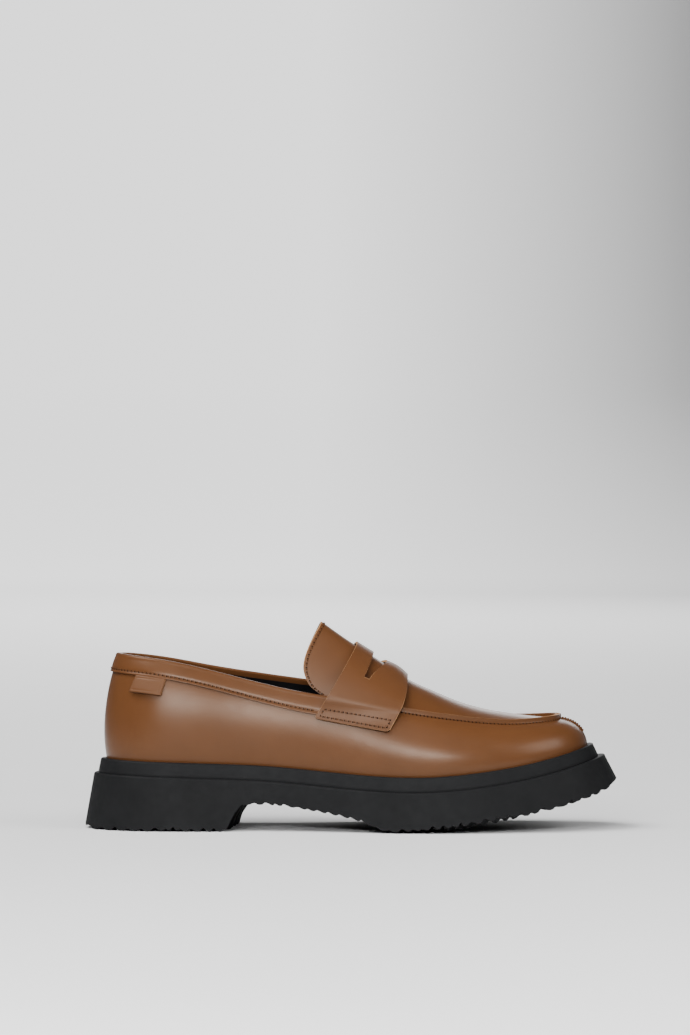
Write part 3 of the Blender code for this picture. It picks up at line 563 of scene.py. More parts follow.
class Look:
    """A procedural material, built from a chain of nodes."""

    def __init__(self, name, roughness, metallic=0.0, specular=0.5):
        self.material = bpy.data.materials.new(name)
        self.material.use_nodes = True
        self.nodes = self.material.node_tree.nodes
        self.links = self.material.node_tree.links
        self.shader = self.nodes["Principled BSDF"]
        self.set("Roughness", roughness)
        self.set("Metallic", metallic)
        self.set("Specular IOR Level", specular)
        self.place = self.nodes.new("ShaderNodeTexCoord").outputs["Object"]
        self.bumped = None

    def join(self, value, socket):
        """Links the socket to a value that is a socket too, or else sets it to the value."""
        if isinstance(value, bpy.types.NodeSocket):
            self.links.new(value, socket)
        else:
            socket.default_value = value

    def set(self, socket, value):
        self.join(value, self.shader.inputs[socket])

    def node(self, kind, **inputs):
        """A new node and its inputs, whose names have _ for a space."""
        made = self.nodes.new(f"ShaderNode{kind}")
        for name, value in inputs.items():
            self.join(value, made.inputs[name.replace("_", " ")])
        return made

    def noise(self, scale, detail, stretch=None):
        place = self.place
        if stretch:
            place = self.node("Mapping", Vector=place, Scale=stretch).outputs["Vector"]
        made = self.node("TexNoise", Vector=place, Scale=scale, Detail=detail, Roughness=0.55)
        return made.outputs["Fac"]

    def cells(self, scale):
        return self.node("TexVoronoi", Vector=self.place, Scale=scale).outputs["Distance"]

    def ramp(self, value, stops):
        made = self.node("ValToRGB", Fac=value)
        for element, (at, colour) in zip(made.color_ramp.elements, stops):
            element.position = at
            element.color = (*colour, 1)
        return made.outputs["Color"]

    def tint(self, value, low, high, start=0.3):
        """Colours the surface from low to high as the value rises."""
        self.set("Base Color", self.ramp(value, [(start, low), (1 - start, high)]))

    def spread(self, value, low, high, from_low=0.3, from_high=0.7):
        made = self.node("MapRange", Value=value, From_Min=from_low, From_Max=from_high)
        self.join(low, made.inputs["To Min"])
        self.join(high, made.inputs["To Max"])
        return made.outputs["Result"]

    def combine(self, operation, *values):
        """The result of a math node on the values given, each a socket or a number."""
        made = self.node("Math")
        made.operation = operation
        for socket, value in zip(made.inputs, values):
            self.join(value, socket)
        return made.outputs["Value"]

    def bump(self, value, distance, strength):
        """Bumps on top of the ones before."""
        made = self.node("Bump", Height=value, Distance=distance, Strength=strength)
        if self.bumped:
            self.join(self.bumped, made.inputs["Normal"])
        self.bumped = made.outputs["Normal"]
        self.set("Normal", self.bumped)


def leather_look(name, roughness):
    """Smooth brown calf: faint mottling, fine pores and a soft waxed sheen."""
    look = Look(name, roughness, specular=0.33)
    brown = np.array([0.088, 0.0336, 0.0114])
    look.tint(look.noise(38, 5), brown * 0.95, brown * 1.04, 0.35)
    look.set("Roughness", look.spread(look.noise(160, 3), roughness - 0.02, roughness + 0.02))
    look.bump(look.cells(1300), 0.00003, 0.3)
    look.bump(look.noise(600, 2), 0.00004, 0.3)
    look.bump(look.noise(120, 2), 0.0001, 0.25)
    look.set("Specular Tint", (1.0, 0.88, 0.77, 1.0))
    return look.material


def cut_edge_look():
    """Raw leather edge: lighter, fibrous and matt."""
    look = Look("leather_cut_edge", 0.75)
    fibre = look.noise(700, 4, stretch=(1, 1, 3))
    look.tint(fibre, (0.26, 0.125, 0.05), (0.42, 0.22, 0.095))
    look.bump(fibre, 0.0001, 0.5)
    return look.material


def shaded_edge_look():
    """The underside of a cut edge, painted near-black as shade under the edge."""
    look = Look("leather_edge_painted_shade", 0.8, specular=0.1)
    fibre = look.noise(700, 4, stretch=(1, 1, 3))
    look.tint(fibre, (0.012, 0.006, 0.003), (0.03, 0.015, 0.007))
    look.bump(fibre, 0.0001, 0.5)
    return look.material


def thread_look():
    look = Look("thread_brown", 0.6, specular=0.15)
    twist = look.noise(2200, 2, stretch=(1, 1, 2))
    look.tint(twist, (0.05, 0.018, 0.0055), (0.105, 0.04, 0.0125))
    look.bump(twist, 0.00006, 0.6)
    return look.material


def needle_hole_look():
    """Painted shade: near-black colour for the shadow inside and round a needle hole."""
    look = Look("painted_hole_shade", 0.9, specular=0.1)
    look.tint(look.noise(900, 2), (0.004, 0.002, 0.0015), (0.011, 0.005, 0.003))
    return look.material


def lining_look():
    """Black lining leather with a fine grain."""
    look = Look("lining_black", 0.62, specular=0.1)
    look.tint(look.noise(90, 4), (0.003, 0.003, 0.0035), (0.007, 0.007, 0.0075))
    look.bump(look.cells(1100), 0.00008, 0.5)
    look.bump(look.noise(500, 3), 0.00006, 0.4)
    return look.material


def rubber_look():
    """Matt moulded rubber, charcoal, with a fine blasted texture."""
    look = Look("rubber_charcoal", 0.6, specular=0.09)
    look.tint(look.noise(60, 5), (0.0072, 0.0074, 0.0078), (0.0094, 0.0096, 0.0101))
    look.set("Roughness", look.spread(look.noise(220, 3), 0.52, 0.66))
    look.bump(look.noise(1400, 2), 0.00006, 0.45)
    look.bump(look.noise(260, 3), 0.00005, 0.15)
    return look.material


def midsole_look():
    look = Look("midsole_black", 0.55, specular=0.09)
    look.tint(look.noise(70, 5), (0.0078, 0.0080, 0.0085), (0.0100, 0.0102, 0.0107))
    look.set("Roughness", look.spread(look.noise(300, 3), 0.5, 0.62))
    look.bump(look.noise(1700, 2), 0.00005, 0.4)
    return look.material


def footbed_look():
    look = Look("footbed_black", 0.8)
    look.tint(look.noise(400, 4), (0.008, 0.008, 0.009), (0.02, 0.02, 0.021))
    look.bump(look.cells(800), 0.0001, 0.5)
    return look.material


def board_look(name, low, high):
    look = Look(name, 0.85)
    fibre = look.noise(300, 5, stretch=(0.3, 1, 1))
    look.tint(fibre, low, high)
    look.bump(fibre, 0.0001, 0.4)
    return look.material


def steel_look():
    look = Look("polished_steel", 0.35, 1.0)
    look.tint(look.noise(200, 3, stretch=(0.1, 1, 1)), (0.42,) * 3, (0.55,) * 3)
    return look.material


leather = leather_look("leather_brown", 0.31)
matt_leather = leather_look("leather_brown_matt", 0.41)
cut_edge = cut_edge_look()
# Near-black edge material: painted shade under cut edges.
painted_shade_edge = shaded_edge_look()
thread = thread_look()
painted_hole_shade = needle_hole_look()
lining = lining_look()
rubber = rubber_look()
midsole_rubber = midsole_look()
footbed_cloth = footbed_look()


# Pieces.


def make_upper(name, start, end):
    """One side of the upper: the wall, then a small corner and the upturned lip of the apron seam."""
    s = start + (end - start) * rows(300, 0.0011)
    near_toe = np.minimum(np.abs(s), np.abs(2 - s))
    t = 1 - (1 - np.linspace(0, 1, 34)) ** 1.1
    columns = [wall(s, k) for k in t[:-2]]
    lip = lip_height(s)[:, None]
    corner = np.minimum(lip * 0.45, LIP_CORNER)
    before = wall(s, band_t(s, LIP_CORNER * 1.3))
    edge = wall(s, 1.0)
    after = edge + UP * corner
    for k in (0, 0.25, 0.5, 0.75, 1):
        columns.append(before * (1 - k) ** 2 + edge * 2 * k * (1 - k) + after * k**2)
    for k in (0.35, 0.7, 0.92, 1):
        columns.append(after + UP * (lip - corner) * k)
    grid = np.stack(columns, axis=1)
    ridge = TOE_RIDGE * np.exp(-((near_toe * SIDE_LENGTH / TOE_RIDGE_WIDTH) ** 2))
    made = sheet(f"{name}_leather", grid, LEATHER, leather, cut_edge, light_rim=False, roll=SEAM_ROLL,
                 lift=ridge[:, None])
    return place(made, "shoe", "tan_leather", name)


def make_apron():
    """The plug over the toes: its edge turns up inside the side wall's lip, all round the toe."""
    s = np.concatenate([[0, 0.0012, 0.003], np.linspace(0.006, place_at(TONGUE_START_X), 230)])
    widest = math.pi / 2 * 0.94
    v = (np.sin(np.linspace(-1, 1, 61) * math.pi / 2 * 0.94) / math.sin(widest))[1:-1]
    columns = []
    for side, across in ((s, -1.0), (2 - s, 1.0)):
        edge = plug(s, across)
        inside = plug(s, across * 0.965)
        corner = np.minimum(lip_height(s) * 0.45, LIP_CORNER)[:, None]
        top = (lip_height(s) - LIP_STEP)[:, None]
        up = [edge + UP * (corner + (top - corner) * k) for k in (1, 0.9, 0.6, 0.3)]
        start = edge + UP * corner
        bend = [start * (1 - k) ** 2 + edge * 2 * k * (1 - k) + inside * k**2 for k in (0, 0.3, 0.6, 1)]
        columns.append(up + bend)
    middle = [plug(s, k) for k in v if abs(k) < 0.955]
    grid = np.stack(columns[0] + middle + columns[1][::-1], axis=1)
    made = sheet("apron_leather", grid, LEATHER, leather, cut_edge, roll=SEAM_ROLL, light_rim=False)
    return place(made, "shoe", "tan_leather", "apron")


def tongue_end(v):
    """The s of the tongue's rear edge at v, where the foot's surface crosses the edge's side view."""
    low, high = (np.full_like(v, place_at(x)) for x in TONGUE_END_X)
    for _ in range(22):
        middle = (low + high) / 2
        point = plug(middle, v)
        ahead = point[..., 0] > tongue_back_x(point[..., 2])
        low, high = np.where(ahead, middle, low), np.where(ahead, high, middle)
    return (low + high) / 2


def tongue_surface(share, v):
    """The tongue, by its share of the way back from under the strap."""
    share, v = np.broadcast_arrays(np.asarray(share, float), np.asarray(v, float))
    places = np.linspace(0, 1, 101)
    start = place_at(TONGUE_START_X)
    end = np.interp(np.abs(v), places, tongue_end(-places)) - TONGUE_TRIM_S * ease(v, 0.0, 0.6)
    return plug(start + share * (end - start), v)


def make_tongue():
    share = rows(60, 0.012)
    v = np.linspace(-1, 1, 121)
    v = np.sign(v) * (1 - (1 - np.abs(v)) ** 1.4)
    face = tongue_surface(share[:, None], v[None, :])
    made = sheet("tongue_leather", face, LEATHER, matt_leather, cut_edge, roll=FLAP_ROLL)
    behind = tongue_surface(share[:, None] * 0.985, v[None, 2:-2])
    back = sheet("tongue_backing", behind, LINING, lining, lift=-(LEATHER + 0.12 * MM))
    across = np.linspace(-0.99, 0.99, 500)
    tenth = np.linalg.norm(tongue_surface(1.0, across) - tongue_surface(0.9, across), axis=-1)
    inset = 1 - TONGUE_STITCH_IN / tenth * 0.1
    inset = inset - 0.05 * np.abs(across) ** 8
    path = lifted(tongue_surface, inset, across, np.full_like(across, 0.05 * MM))
    row = stitches("tongue_stitches", path, outward(tongue_surface, inset, across), 2.7 * MM)
    for item, slot, node in (
        (made, "tan_leather", "tongue"),
        (back, "black_lining", "tongue_lining"),
        (row, "tan_thread", "tongue_thread"),
    ):
        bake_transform(item)
        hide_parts(node)


def strap_base(back, c):
    """The surface under the strap with the corner at the top of the side wall rounded off."""
    back, c = np.broadcast_arrays(np.asarray(back, float), np.asarray(c, float))
    reach = STRAP_BEND_REACH * ease(1 - np.abs(c), 0.03, 0.34)
    shifts = np.linspace(-1, 1, 25)
    weights = np.cos(shifts * math.pi / 2 * 0.94)
    return sum(k * under_strap(back, c + reach * shift) for shift, k in zip(shifts, weights)) / weights.sum()


def strap_lift(c, back):
    """How far the strap's underside stands off: flat where sewn, over the lip and collar above, less on top."""
    share = np.abs(c)
    over = ease(1 - share, 0.0, 0.34)
    top = ease(1 - share, 0.45, 0.8)
    front = slot_lines(c)[1]
    bulge = np.sin(np.clip(back / front, 0, 1) * math.pi) * ease(1 - share, 0.5, 0.9)
    end = np.clip((share - 0.83) / 0.17, 0, 1) ** 1.3
    return (0.2 + 3.8 * over - 2.0 * top + 1.1 * bulge + 0.9 * end) * MM


def slot_lines(c):
    """The slot's rear and front edges, as places across the strap's width."""
    rear = np.full_like(c, 1 - STRAP_REAR_BAND / STRAP_WIDTH)
    share = np.clip(np.abs(c) / SLOT_END_SHARE, 0, 1)
    crown = np.cos(share * math.pi / 2) ** 1.6
    width = SLOT_END_WIDTH + (SLOT_CENTRE_WIDTH - SLOT_END_WIDTH) * crown
    return rear, rear - width / STRAP_WIDTH


def strap_grid():
    """The strap's places: rows that follow the slot's edges, columns across the shoe, and its leather faces."""
    half = SLOT_END_SHARE
    close = 0.006
    c = np.concatenate([
        np.linspace(0, half - 2.5 * close, 26),
        [half - close, half, half + close, half + 2.5 * close],
        np.linspace(half + 0.03, 0.955, 38),
        [0.967, 0.976, 0.984, 0.991, 0.996, 0.999, 1.0],
    ])
    c = np.concatenate([-c[:0:-1], c])
    rear, front = slot_lines(c)
    near = np.array([0, 0.008, 0.02])
    front_rows = np.concatenate([near, np.linspace(0.06, 0.94, 18), 1 - near[::-1]])
    rear_rows = np.concatenate([near, np.linspace(0.08, 0.92, 14), 1 - near[::-1]])
    gap_rows = np.array([0.3, 0.7])
    back = np.concatenate([
        front_rows[:, None] * front[None, :],
        front[None, :] + gap_rows[:, None] * (rear - front)[None, :],
        rear[None, :] + rear_rows[:, None] * (1 - rear)[None, :],
    ])
    from_end = np.clip((1 - np.abs(c)) * STRAP_HALF, 0, STRAP_CORNER)
    cut = STRAP_CORNER - np.sqrt(STRAP_CORNER**2 - (STRAP_CORNER - from_end) ** 2)
    back = 0.5 + (back - 0.5) * (1 - 2 * cut / STRAP_WIDTH)
    mask = np.ones((back.shape[0] - 1, back.shape[1] - 1), bool)
    low, high = len(front_rows) - 1, len(front_rows) + len(gap_rows)
    middle = np.abs((c[1:] + c[:-1]) / 2) < half
    mask[low:high, middle] = False
    return back, np.broadcast_to(c, back.shape), mask


def make_strap():
    back, c, mask = strap_grid()
    grid = strap_base(back, c)
    lift = strap_lift(c, back)
    normal = outward(strap_base, back, c)
    face = grid + normal * (lift + STRAP)[..., None]
    made = sheet("strap_leather", face, STRAP, matt_leather, cut_edge, mask=mask, roll=FLAP_ROLL)
    place(made, "shoe", "tan_leather", "penny_strap")
    below = grid + normal * lift[..., None] - normal * 0.05 * MM
    under = sheet("strap_backing", below, STRAP_BACKING, lining, mask=mask)
    place(under, "shoe", "black_lining")


def strap_path(corners, count=40):
    path = []
    for (a, b), (c, d) in zip(corners, corners[1:]):
        path += [(a + (c - a) * k, b + (d - b) * k) for k in np.linspace(0, 1, count, endpoint=False)]
    path.append(corners[-1])
    return np.array(path).T


def make_strap_stitches():
    for name, side in (("lateral", -1), ("medial", 1)):
        low, high, rear, front = 0.963, 0.873, 0.945, 0.055
        box = [(front, low), (rear, low), (rear, high), (front, high), (front, low)]
        back, c = strap_path(box)
        c = c * side
        up = outward(strap_base, back, c)
        path = strap_base(back, c) + up * (strap_lift(c, back) + STRAP)[:, None]
        row = stitches(f"strap_stitches_{name}", path, up, 2.5 * MM)
        place(row, "shoe", "tan_thread", f"strap_thread_{name}")


def collar_section(s, outward_by, inward_by, crown):
    """The collar band's path for each s: up the outside, rounded over the topline, and down the inside."""
    depths = np.array([1, 0.97, 0.92, 0.86, 0.82, 0.78, 0.72, 0.6, 0.45, 0.3, 0.16, 0.06]) * COLLAR_WIDTH
    groove = 0.22 * MM * np.exp(-(((COLLAR_WIDTH - depths) - STITCH_IN) / (0.45 * MM)) ** 2)
    swell = 0.14 * MM * np.sin(np.clip(1 - depths / COLLAR_WIDTH, 0, 1) * math.pi) ** 1.2
    more = swell - groove if crown else np.zeros_like(depths)
    if crown:
        more[0] += 0.1 * MM
        more[1] += 0.2 * MM
    outer = [lifted(wall, s, band_t(s, d), np.full_like(s, outward_by + m)) for d, m in zip(depths, more)]
    out = plan(feather(s)[1])
    edge = wall(s, 1.0)
    lean = (out * outward(wall, s, np.ones_like(s))).sum(axis=-1, keepdims=True)
    a = edge + out * outward_by / lean
    b = edge - out * inward_by / lean
    top = []
    rise = outward_by + LIP_REST
    middle, half = (a + b) / 2, (a - b) / 2
    for angle in np.linspace(0, math.pi, 11)[1:-1]:
        top.append(middle + half * math.cos(angle) + UP * rise * math.sin(angle) ** 0.8)
    inside = np.full_like(s, -inward_by)
    inner = [lifted(wall, s, band_t(s, d * COLLAR_WIDTH), inside) for d in (0.04, 0.08, 0.12, 0.15)]
    return np.stack([*outer, *top, *inner], axis=1)


def make_collar():
    front = place_at(COLLAR_FRONT_X)
    s = np.linspace(front, 2 - front, 420)
    depth = LEATHER + 0.05 * MM
    outer = collar_section(s, COLLAR_STAND + COLLAR_LEATHER, depth + 0.85 * MM, True)
    inner = collar_section(s, COLLAR_STAND, depth, False)
    # Every cut edge of the collar band gets the near-black edge material: painted shade for the dark line under
    # its lower edge.
    place(slab("collar_leather", outer, inner, leather, painted_shade_edge), "shoe", "tan_leather", "collar_band")
    front = place_at(COLLAR_THREAD_X)
    s = np.linspace(front, 2 - front, 900)
    t = band_t(s, COLLAR_WIDTH - STITCH_IN)
    path = lifted(wall, s, t, np.full_like(s, COLLAR_STAND + COLLAR_LEATHER - 0.05 * MM))
    row = stitches("collar_stitches", path, outward(wall, s, t), 2.5 * MM)
    place(row, "shoe", "tan_thread", "collar_thread")


def make_apron_stitches():
    end = place_at(APRON_THREAD_X)
    s = np.linspace(-end, end, 900)
    edge = wall(s, 1.0)
    out = plan(feather(s)[1])
    path = edge + UP * (0.4 * MM) + out * 0.1 * MM
    row = stitches("apron_stitches", path, out + UP * 0.25, 2.2 * MM, radius=0.45 * MM, share=0.88, skew=14)
    place(row, "shoe", "tan_thread", "apron_thread")


def make_toe_stitches():
    """Whip stitches over the toe seam, each crossing it square."""
    points, faces = [], []
    across = np.linspace(-1, 1, 9)
    for t in np.linspace(0.42, 0.95, 10):
        s = across * 0.0085
        up = outward(wall, s, np.full_like(s, t))
        seam = 0.55 * MM * np.exp(-((s * SIDE_LENGTH / (2.2 * MM)) ** 2))
        centres = wall(s, t) + up * (seam + 0.15 * MM * (1 - 5 * across**4))[:, None]
        thread_length(points, faces, centres, up, 0.82 * MM * (1 - 0.4 * across**4), 8)
    place(piece("toe_stitches", points, faces, [thread], sharp=60), "shoe", "tan_thread", "toe_seam_thread")


def make_tab():
    """A blank leather tab with a thin line pressed in along its edges, its top edge under the collar band."""
    front, rear = place_at(TAB_FRONT_X), place_at(TAB_REAR_X)
    u, k = np.meshgrid(rows(40, 0.02), rows(30, 0.035), indexing="ij")
    s = front + (rear - front) * u + TAB_LEAN * (1 - k)
    depth = COLLAR_WIDTH - TAB_TUCK + (TAB_HEIGHT + TAB_TUCK) * (1 - k)
    t = band_t(s, depth)
    ends = np.exp(-((np.minimum(u, 1 - u) * 19 - 1.5) / 0.3) ** 2) * (k > 0.13) * (k < 0.87)
    sides = np.exp(-((np.minimum(k, 1 - k) * 9 - 1.3) / 0.3) ** 2) * (u > 0.07) * (u < 0.93)
    stand = (0.7 + 1.5 * (1 - k) ** 1.1) * MM + TAB - TAB_LINE * np.maximum(ends, sides)
    grid = lifted(wall, s, t, stand)
    made = sheet("tab_leather", grid, TAB, matt_leather, cut_edge, roll=FLAP_ROLL, light_rim=False)
    return place(made, "side_tab", "tan_leather", "side_tab")


def make_quarter_lining():
    s = np.linspace(0.45, 1.55, 220)
    t = 1 - (1 - np.linspace(0, 1, 40)) ** 1.3
    t = t[None, :] * (band_t(s, LINING_DROP) - 0.05)[:, None] + 0.05
    grid = wall(s[:, None], t)
    near = np.minimum(s, 2 - s)
    depth = LEATHER + 0.25 * MM + 1.5 * MM * ease(near, 0.70, 0.76)[:, None] * (1 - ease(t, 0.74, 0.86))
    made = sheet("lining_leather", grid, LINING, lining, lift=-depth)
    return place(made, "shoe", "black_lining", "quarter_lining")


def ring_points(s, out, height):
    """A ring a distance outside the feather line, its height above the sole's line there."""
    point, normal = feather(s)
    points = point + normal * np.broadcast_to(out, s.shape)[:, None]
    return plan(points) + UP * (sole_z(points[:, 0]) + height)[:, None]


def end_share(s, toe, side, heel):
    """A value round the shoe from its values at the toe, the sides and the heel."""
    normal = feather(s)[1]
    end = np.where(normal[:, 0] > 0, toe, heel)
    return side + (end - side) * normal[:, 0] ** 2


def rounded_edge(out, z, radius):
    """Sections round an upper edge, from its flat top to its side: distances out and heights."""
    angles = np.linspace(0, math.pi / 2, 6)
    return [(out - radius + radius * math.sin(k), z - radius * (1 - math.cos(k))) for k in angles]


def mirrored_places(count):
    """Places round the shoe that come in pairs across it: the toe, the outer side, the heel, the inner side."""
    half = np.arange(1, count) / count
    return np.concatenate([[0], half, [1], 2 - half[::-1]])


def ring_walls(levels, n):
    """The faces between rings of n points, each ring after the one before."""
    faces = []
    for k in range(levels - 1):
        a = k * n + np.arange(n)
        b = k * n + (np.arange(n) + 1) % n
        faces += np.stack([a, a + n, b + n, b], axis=1).tolist()
    return faces


def across_ring(ring, columns):
    """Points between the two sides of a ring of mirrored places, and c, -1 to 1 from the outer side."""
    count = len(ring) // 2
    outer, inner = ring[1:count], ring[:count:-1]
    c = np.linspace(-1, 1, columns)[1:-1]
    share = ((c + 1) / 2)[None, :, None]
    return outer[:, None] * (1 - share) + inner[:, None] * share, c


def cap_faces(ring, inside, count, columns):
    """Faces that close a ring of mirrored places, from its first point and the first of those across it."""
    index = np.zeros((count - 1, columns), int)
    index[:, 1:-1] = inside + np.arange((count - 1) * (columns - 2)).reshape(count - 1, columns - 2)
    index[:, 0] = ring + np.arange(1, count)
    index[:, -1] = ring + 2 * count - np.arange(1, count)
    faces = index.reshape(-1)[grid_faces(index.shape)].tolist()
    faces += [[ring, index[0, k + 1], index[0, k]] for k in range(columns - 1)]
    faces += [[ring + count, index[-1, k], index[-1, k + 1]] for k in range(columns - 1)]
    return faces


def make_midsole():
    """The band under the upper: rounded upper edge, straight flared side, its foot on the outsole's ledge."""
    s = np.linspace(0, 2, 560, endpoint=False)
    outer = end_share(s, *MIDSOLE_TOP_OUT)
    low = end_share(s, *MIDSOLE_BOTTOM_OUT)
    sections = [(MIDSOLE_INSIDE, -2.6 * MM), (-0.2 * MM, -2.3 * MM), (0.15 * MM, -0.5 * MM)]
    sections += [(0.5 * MM, -0.1 * MM), (0.9 * MM, 0), *rounded_edge(outer, 0, MIDSOLE_EDGE)]
    for k in (0.25, 0.5, 0.75, 0.94):
        sections.append((outer + (low - outer) * k, -MIDSOLE_EDGE - (BAND - MIDSOLE_EDGE) * k))
    sections += [(low - 0.2 * MM, -BAND), (MIDSOLE_INSIDE, -BAND)]
    rings = np.stack([ring_points(s, out, z) for out, z in sections], axis=1)
    made = tube_ring("midsole_band", rings[:, ::-1], midsole_rubber)
    return place(made, "shoe", "black_foam", "midsole")


# Heights along the sole: the line the midsole follows, the outsole's lower side edge, its tread and its waist.
sole_z = profile([
    (-158, 41.6), (-144, 41.2), (-78, 39.3), (-48, 38), (-18, 35.5), (21, 32.6), (46, 32.5), (72, 34.7),
    (98, 38.6), (123, 44.2), (140, 49), (158, 54.5),
])
side_edge_z = profile([
    (-157, 1.5), (-153, 0.2), (-120, 0), (-73, 0), (40, 2.6), (59, 4.6), (72, 6.6), (98, 11.2), (111, 13),
    (123, 15.6), (136, 19.6), (146, 22.6), (157, 28.9),
])
sole_base_z = profile([(0, 0), (40, 0), (60, 0.8), (72, 2.6), (98, 8), (123, 14), (146, 21.6), (157, 27.5)])
waist_z = profile([(-62, 15.8), (-48, 15.7), (-30, 13.7), (-12, 10.6), (2, 7.6), (12, 4.8), (24, 2), (34, 0.4)])
random = np.random.default_rng(7)


def rib_line(start, end, pitch, depth):
    """An irregular zigzag: crests at 0 and hollows between them, as places and heights."""
    places, heights = [start], [0.0]
    x = start
    while x < end:
        step = pitch * random.uniform(0.6, 1.45)
        deep = depth * random.uniform(0.55, 1.15)
        for share, height in ((0.18, 0.12), (0.34, 0.8), (0.52, 1.0), (0.66, 0.7), (0.78, 0.25), (1.0, 0.0)):
            places.append(x + step * (share + random.uniform(-0.03, 0.03) * (share < 1)))
            heights.append(deep * height * random.uniform(0.85, 1.15))
        x += step
    return np.array(places), np.array(heights)


HEEL_RIBS = rib_line(-165 * MM, -55 * MM, 6.4 * MM, 2.0 * MM)
WAIST_RIBS = rib_line(-80 * MM, 50 * MM, 6.0 * MM, 1.7 * MM)
FORE_RIBS = rib_line(-5 * MM, 175 * MM, 6.6 * MM, 2.7 * MM)


def underside(x, y, c):
    """Height of the outsole's underside at x, y, where c is -1 or 1 at its side edges."""
    wave = 1.5 * MM * np.sin(y / (8.5 * MM) + x / (31 * MM))
    wave = wave + 0.8 * MM * np.sin(y / (3.4 * MM) + x / (13 * MM))
    edge = ease(np.abs(c), 0.72, 1.0)
    breast = -74.5 * MM + 0.1 * (y + 42 * MM)
    jag = 1.1 * MM * np.sin(y / (2.1 * MM)) + 0.8 * MM * np.sin(y / (4.7 * MM) + 1)
    over_breast = 1 - (1 - np.clip((x + jag - breast) / (13 * MM), 0, 1)) ** 2.4
    heel = np.interp(x + wave, *HEEL_RIBS) + np.maximum(side_edge_z(x), 0) * (x < -100 * MM)
    waist = waist_z(x) + np.interp(x + wave, *WAIST_RIBS) * 0.8
    fore_edge = np.maximum(side_edge_z(x) - 0.8 * MM, 0)
    fore = sole_base_z(x) + (fore_edge - sole_base_z(x)) * edge
    fore = fore + np.interp(x + wave, *FORE_RIBS) * (1 - 0.25 * edge)
    to_fore = ease(x, 6 * MM, 30 * MM)
    front = waist * (1 - to_fore) + fore * to_fore
    return heel * (1 - over_breast) + front * over_breast


def outsole_rings(s):
    """Rings from the ledge over the rounded upper edge and down the flared side to the underside's edge."""
    top_out = end_share(s, *OUTSOLE_TOP_OUT)
    low_out = end_share(s, *OUTSOLE_BOTTOM_OUT)
    sections = [(end_share(s, *OUTSOLE_INNER_OUT), -BAND - 0.1 * MM)]
    sections += rounded_edge(top_out, -BAND, OUTSOLE_EDGE)
    rings = [ring_points(s, out, z) for out, z in sections]
    edge_x, edge_y, _ = ring_points(s, low_out, 0).T
    bottom_z = underside(edge_x, edge_y, np.ones(len(s)))
    start_z = rings[-1][:, 2]
    flare = (low_out - top_out) / (start_z - np.maximum(side_edge_z(edge_x), 0))
    for k in np.concatenate([np.linspace(0, 1, 12)[1:-1], [0.965, 1.0]]):
        height = start_z + (bottom_z - start_z) * k
        ring = ring_points(s, top_out + flare * (start_z - height), 0)
        ring[:, 2] = height
        rings.append(ring)
    return np.stack(rings)


def make_outsole():
    """Ledge, rounded upper edge, flared side and an irregular ribbed underside, as one closed mesh."""
    count = 560
    columns = 53
    rings = outsole_rings(mirrored_places(count))
    levels, n = rings.shape[:2]
    faces = ring_walls(levels, n)
    plan_points, c = across_ring(rings[-1][:, :2], columns)
    z = underside(plan_points[..., 0], plan_points[..., 1], np.broadcast_to(c, plan_points.shape[:2]))
    bottom = np.concatenate([plan_points, z[..., None]], axis=-1)
    faces += cap_faces((levels - 1) * n, levels * n, count, columns)
    faces.append([0, 1, n - 1])
    faces += [[i, i + 1, n - i - 1, n - i] for i in range(1, count - 1)]
    faces.append([count - 1, count, count + 1])
    faces = [list(reversed(f)) for f in faces]
    points = np.vstack([rings.reshape(-1, 3), bottom.reshape(-1, 3)])
    made = piece("sole_rubber", points, faces, [rubber], sharp=50)
    return place(made, "shoe", "black_rubber", "outsole")


def bed(name, inset, low, high, look, node, slot):
    """A bed that follows the insole's curve, with rounded edges and a slight cup."""
    count = 200
    columns = 17
    s = mirrored_places(count)
    out = end_share(s, *inset)
    r = min(1.0 * MM, (high - low) * 0.45)
    levels = [(out - r, low), (out, low + r)]
    for angle in np.linspace(0, math.pi / 2, 5):
        levels.append((out - r + r * math.cos(angle), high - r + r * math.sin(angle)))
    rings = np.stack([ring_points(s, o, z) for o, z in levels])
    n = len(s)
    faces = ring_walls(len(levels), n)
    points = rings.reshape(-1, 3)
    for level in (len(levels) - 1, 0):
        grid, c = across_ring(rings[level], columns)
        cap = cap_faces(level * n, len(points), count, columns)
        if level:
            grid[..., 2] = sole_z(grid[..., 0]) + high - BED_CUP * (1 - c**2)
        else:
            cap = [list(reversed(f)) for f in cap]
        faces += cap
        points = np.vstack([points, grid.reshape(-1, 3)])
    made = piece(name, points, faces, [look], sharp=60)
    return place(made, "footbed", slot, node)


def make_footbed():
    bed("footbed_foam", FOAM_OUT, *FOAM_LEVELS, footbed_cloth, "footbed", "black_foam")
    bed("footbed_leather", COVER_OUT, *COVER_LEVELS, lining, "footbed_cover", "black_lining")


def finish_hidden_nodes():
    """The pieces inside the shoe keep their CAD shape and get their own materials."""
    board = board_look("fibre_board", (0.09, 0.06, 0.035), (0.15, 0.105, 0.065))
    stiff = board_look("stiffener", (0.46, 0.42, 0.35), (0.58, 0.53, 0.45))
    steel = steel_look()
    looks = {
        "insole_board": board, "bottom_filler": board, "heel_counter": stiff, "toe_puff": stiff, "shank": steel,
        "vamp_lining": lining, "apron_lining": lining,
    }
    for node, look in looks.items():
        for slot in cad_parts[node].material_slots:
            slot.material = look


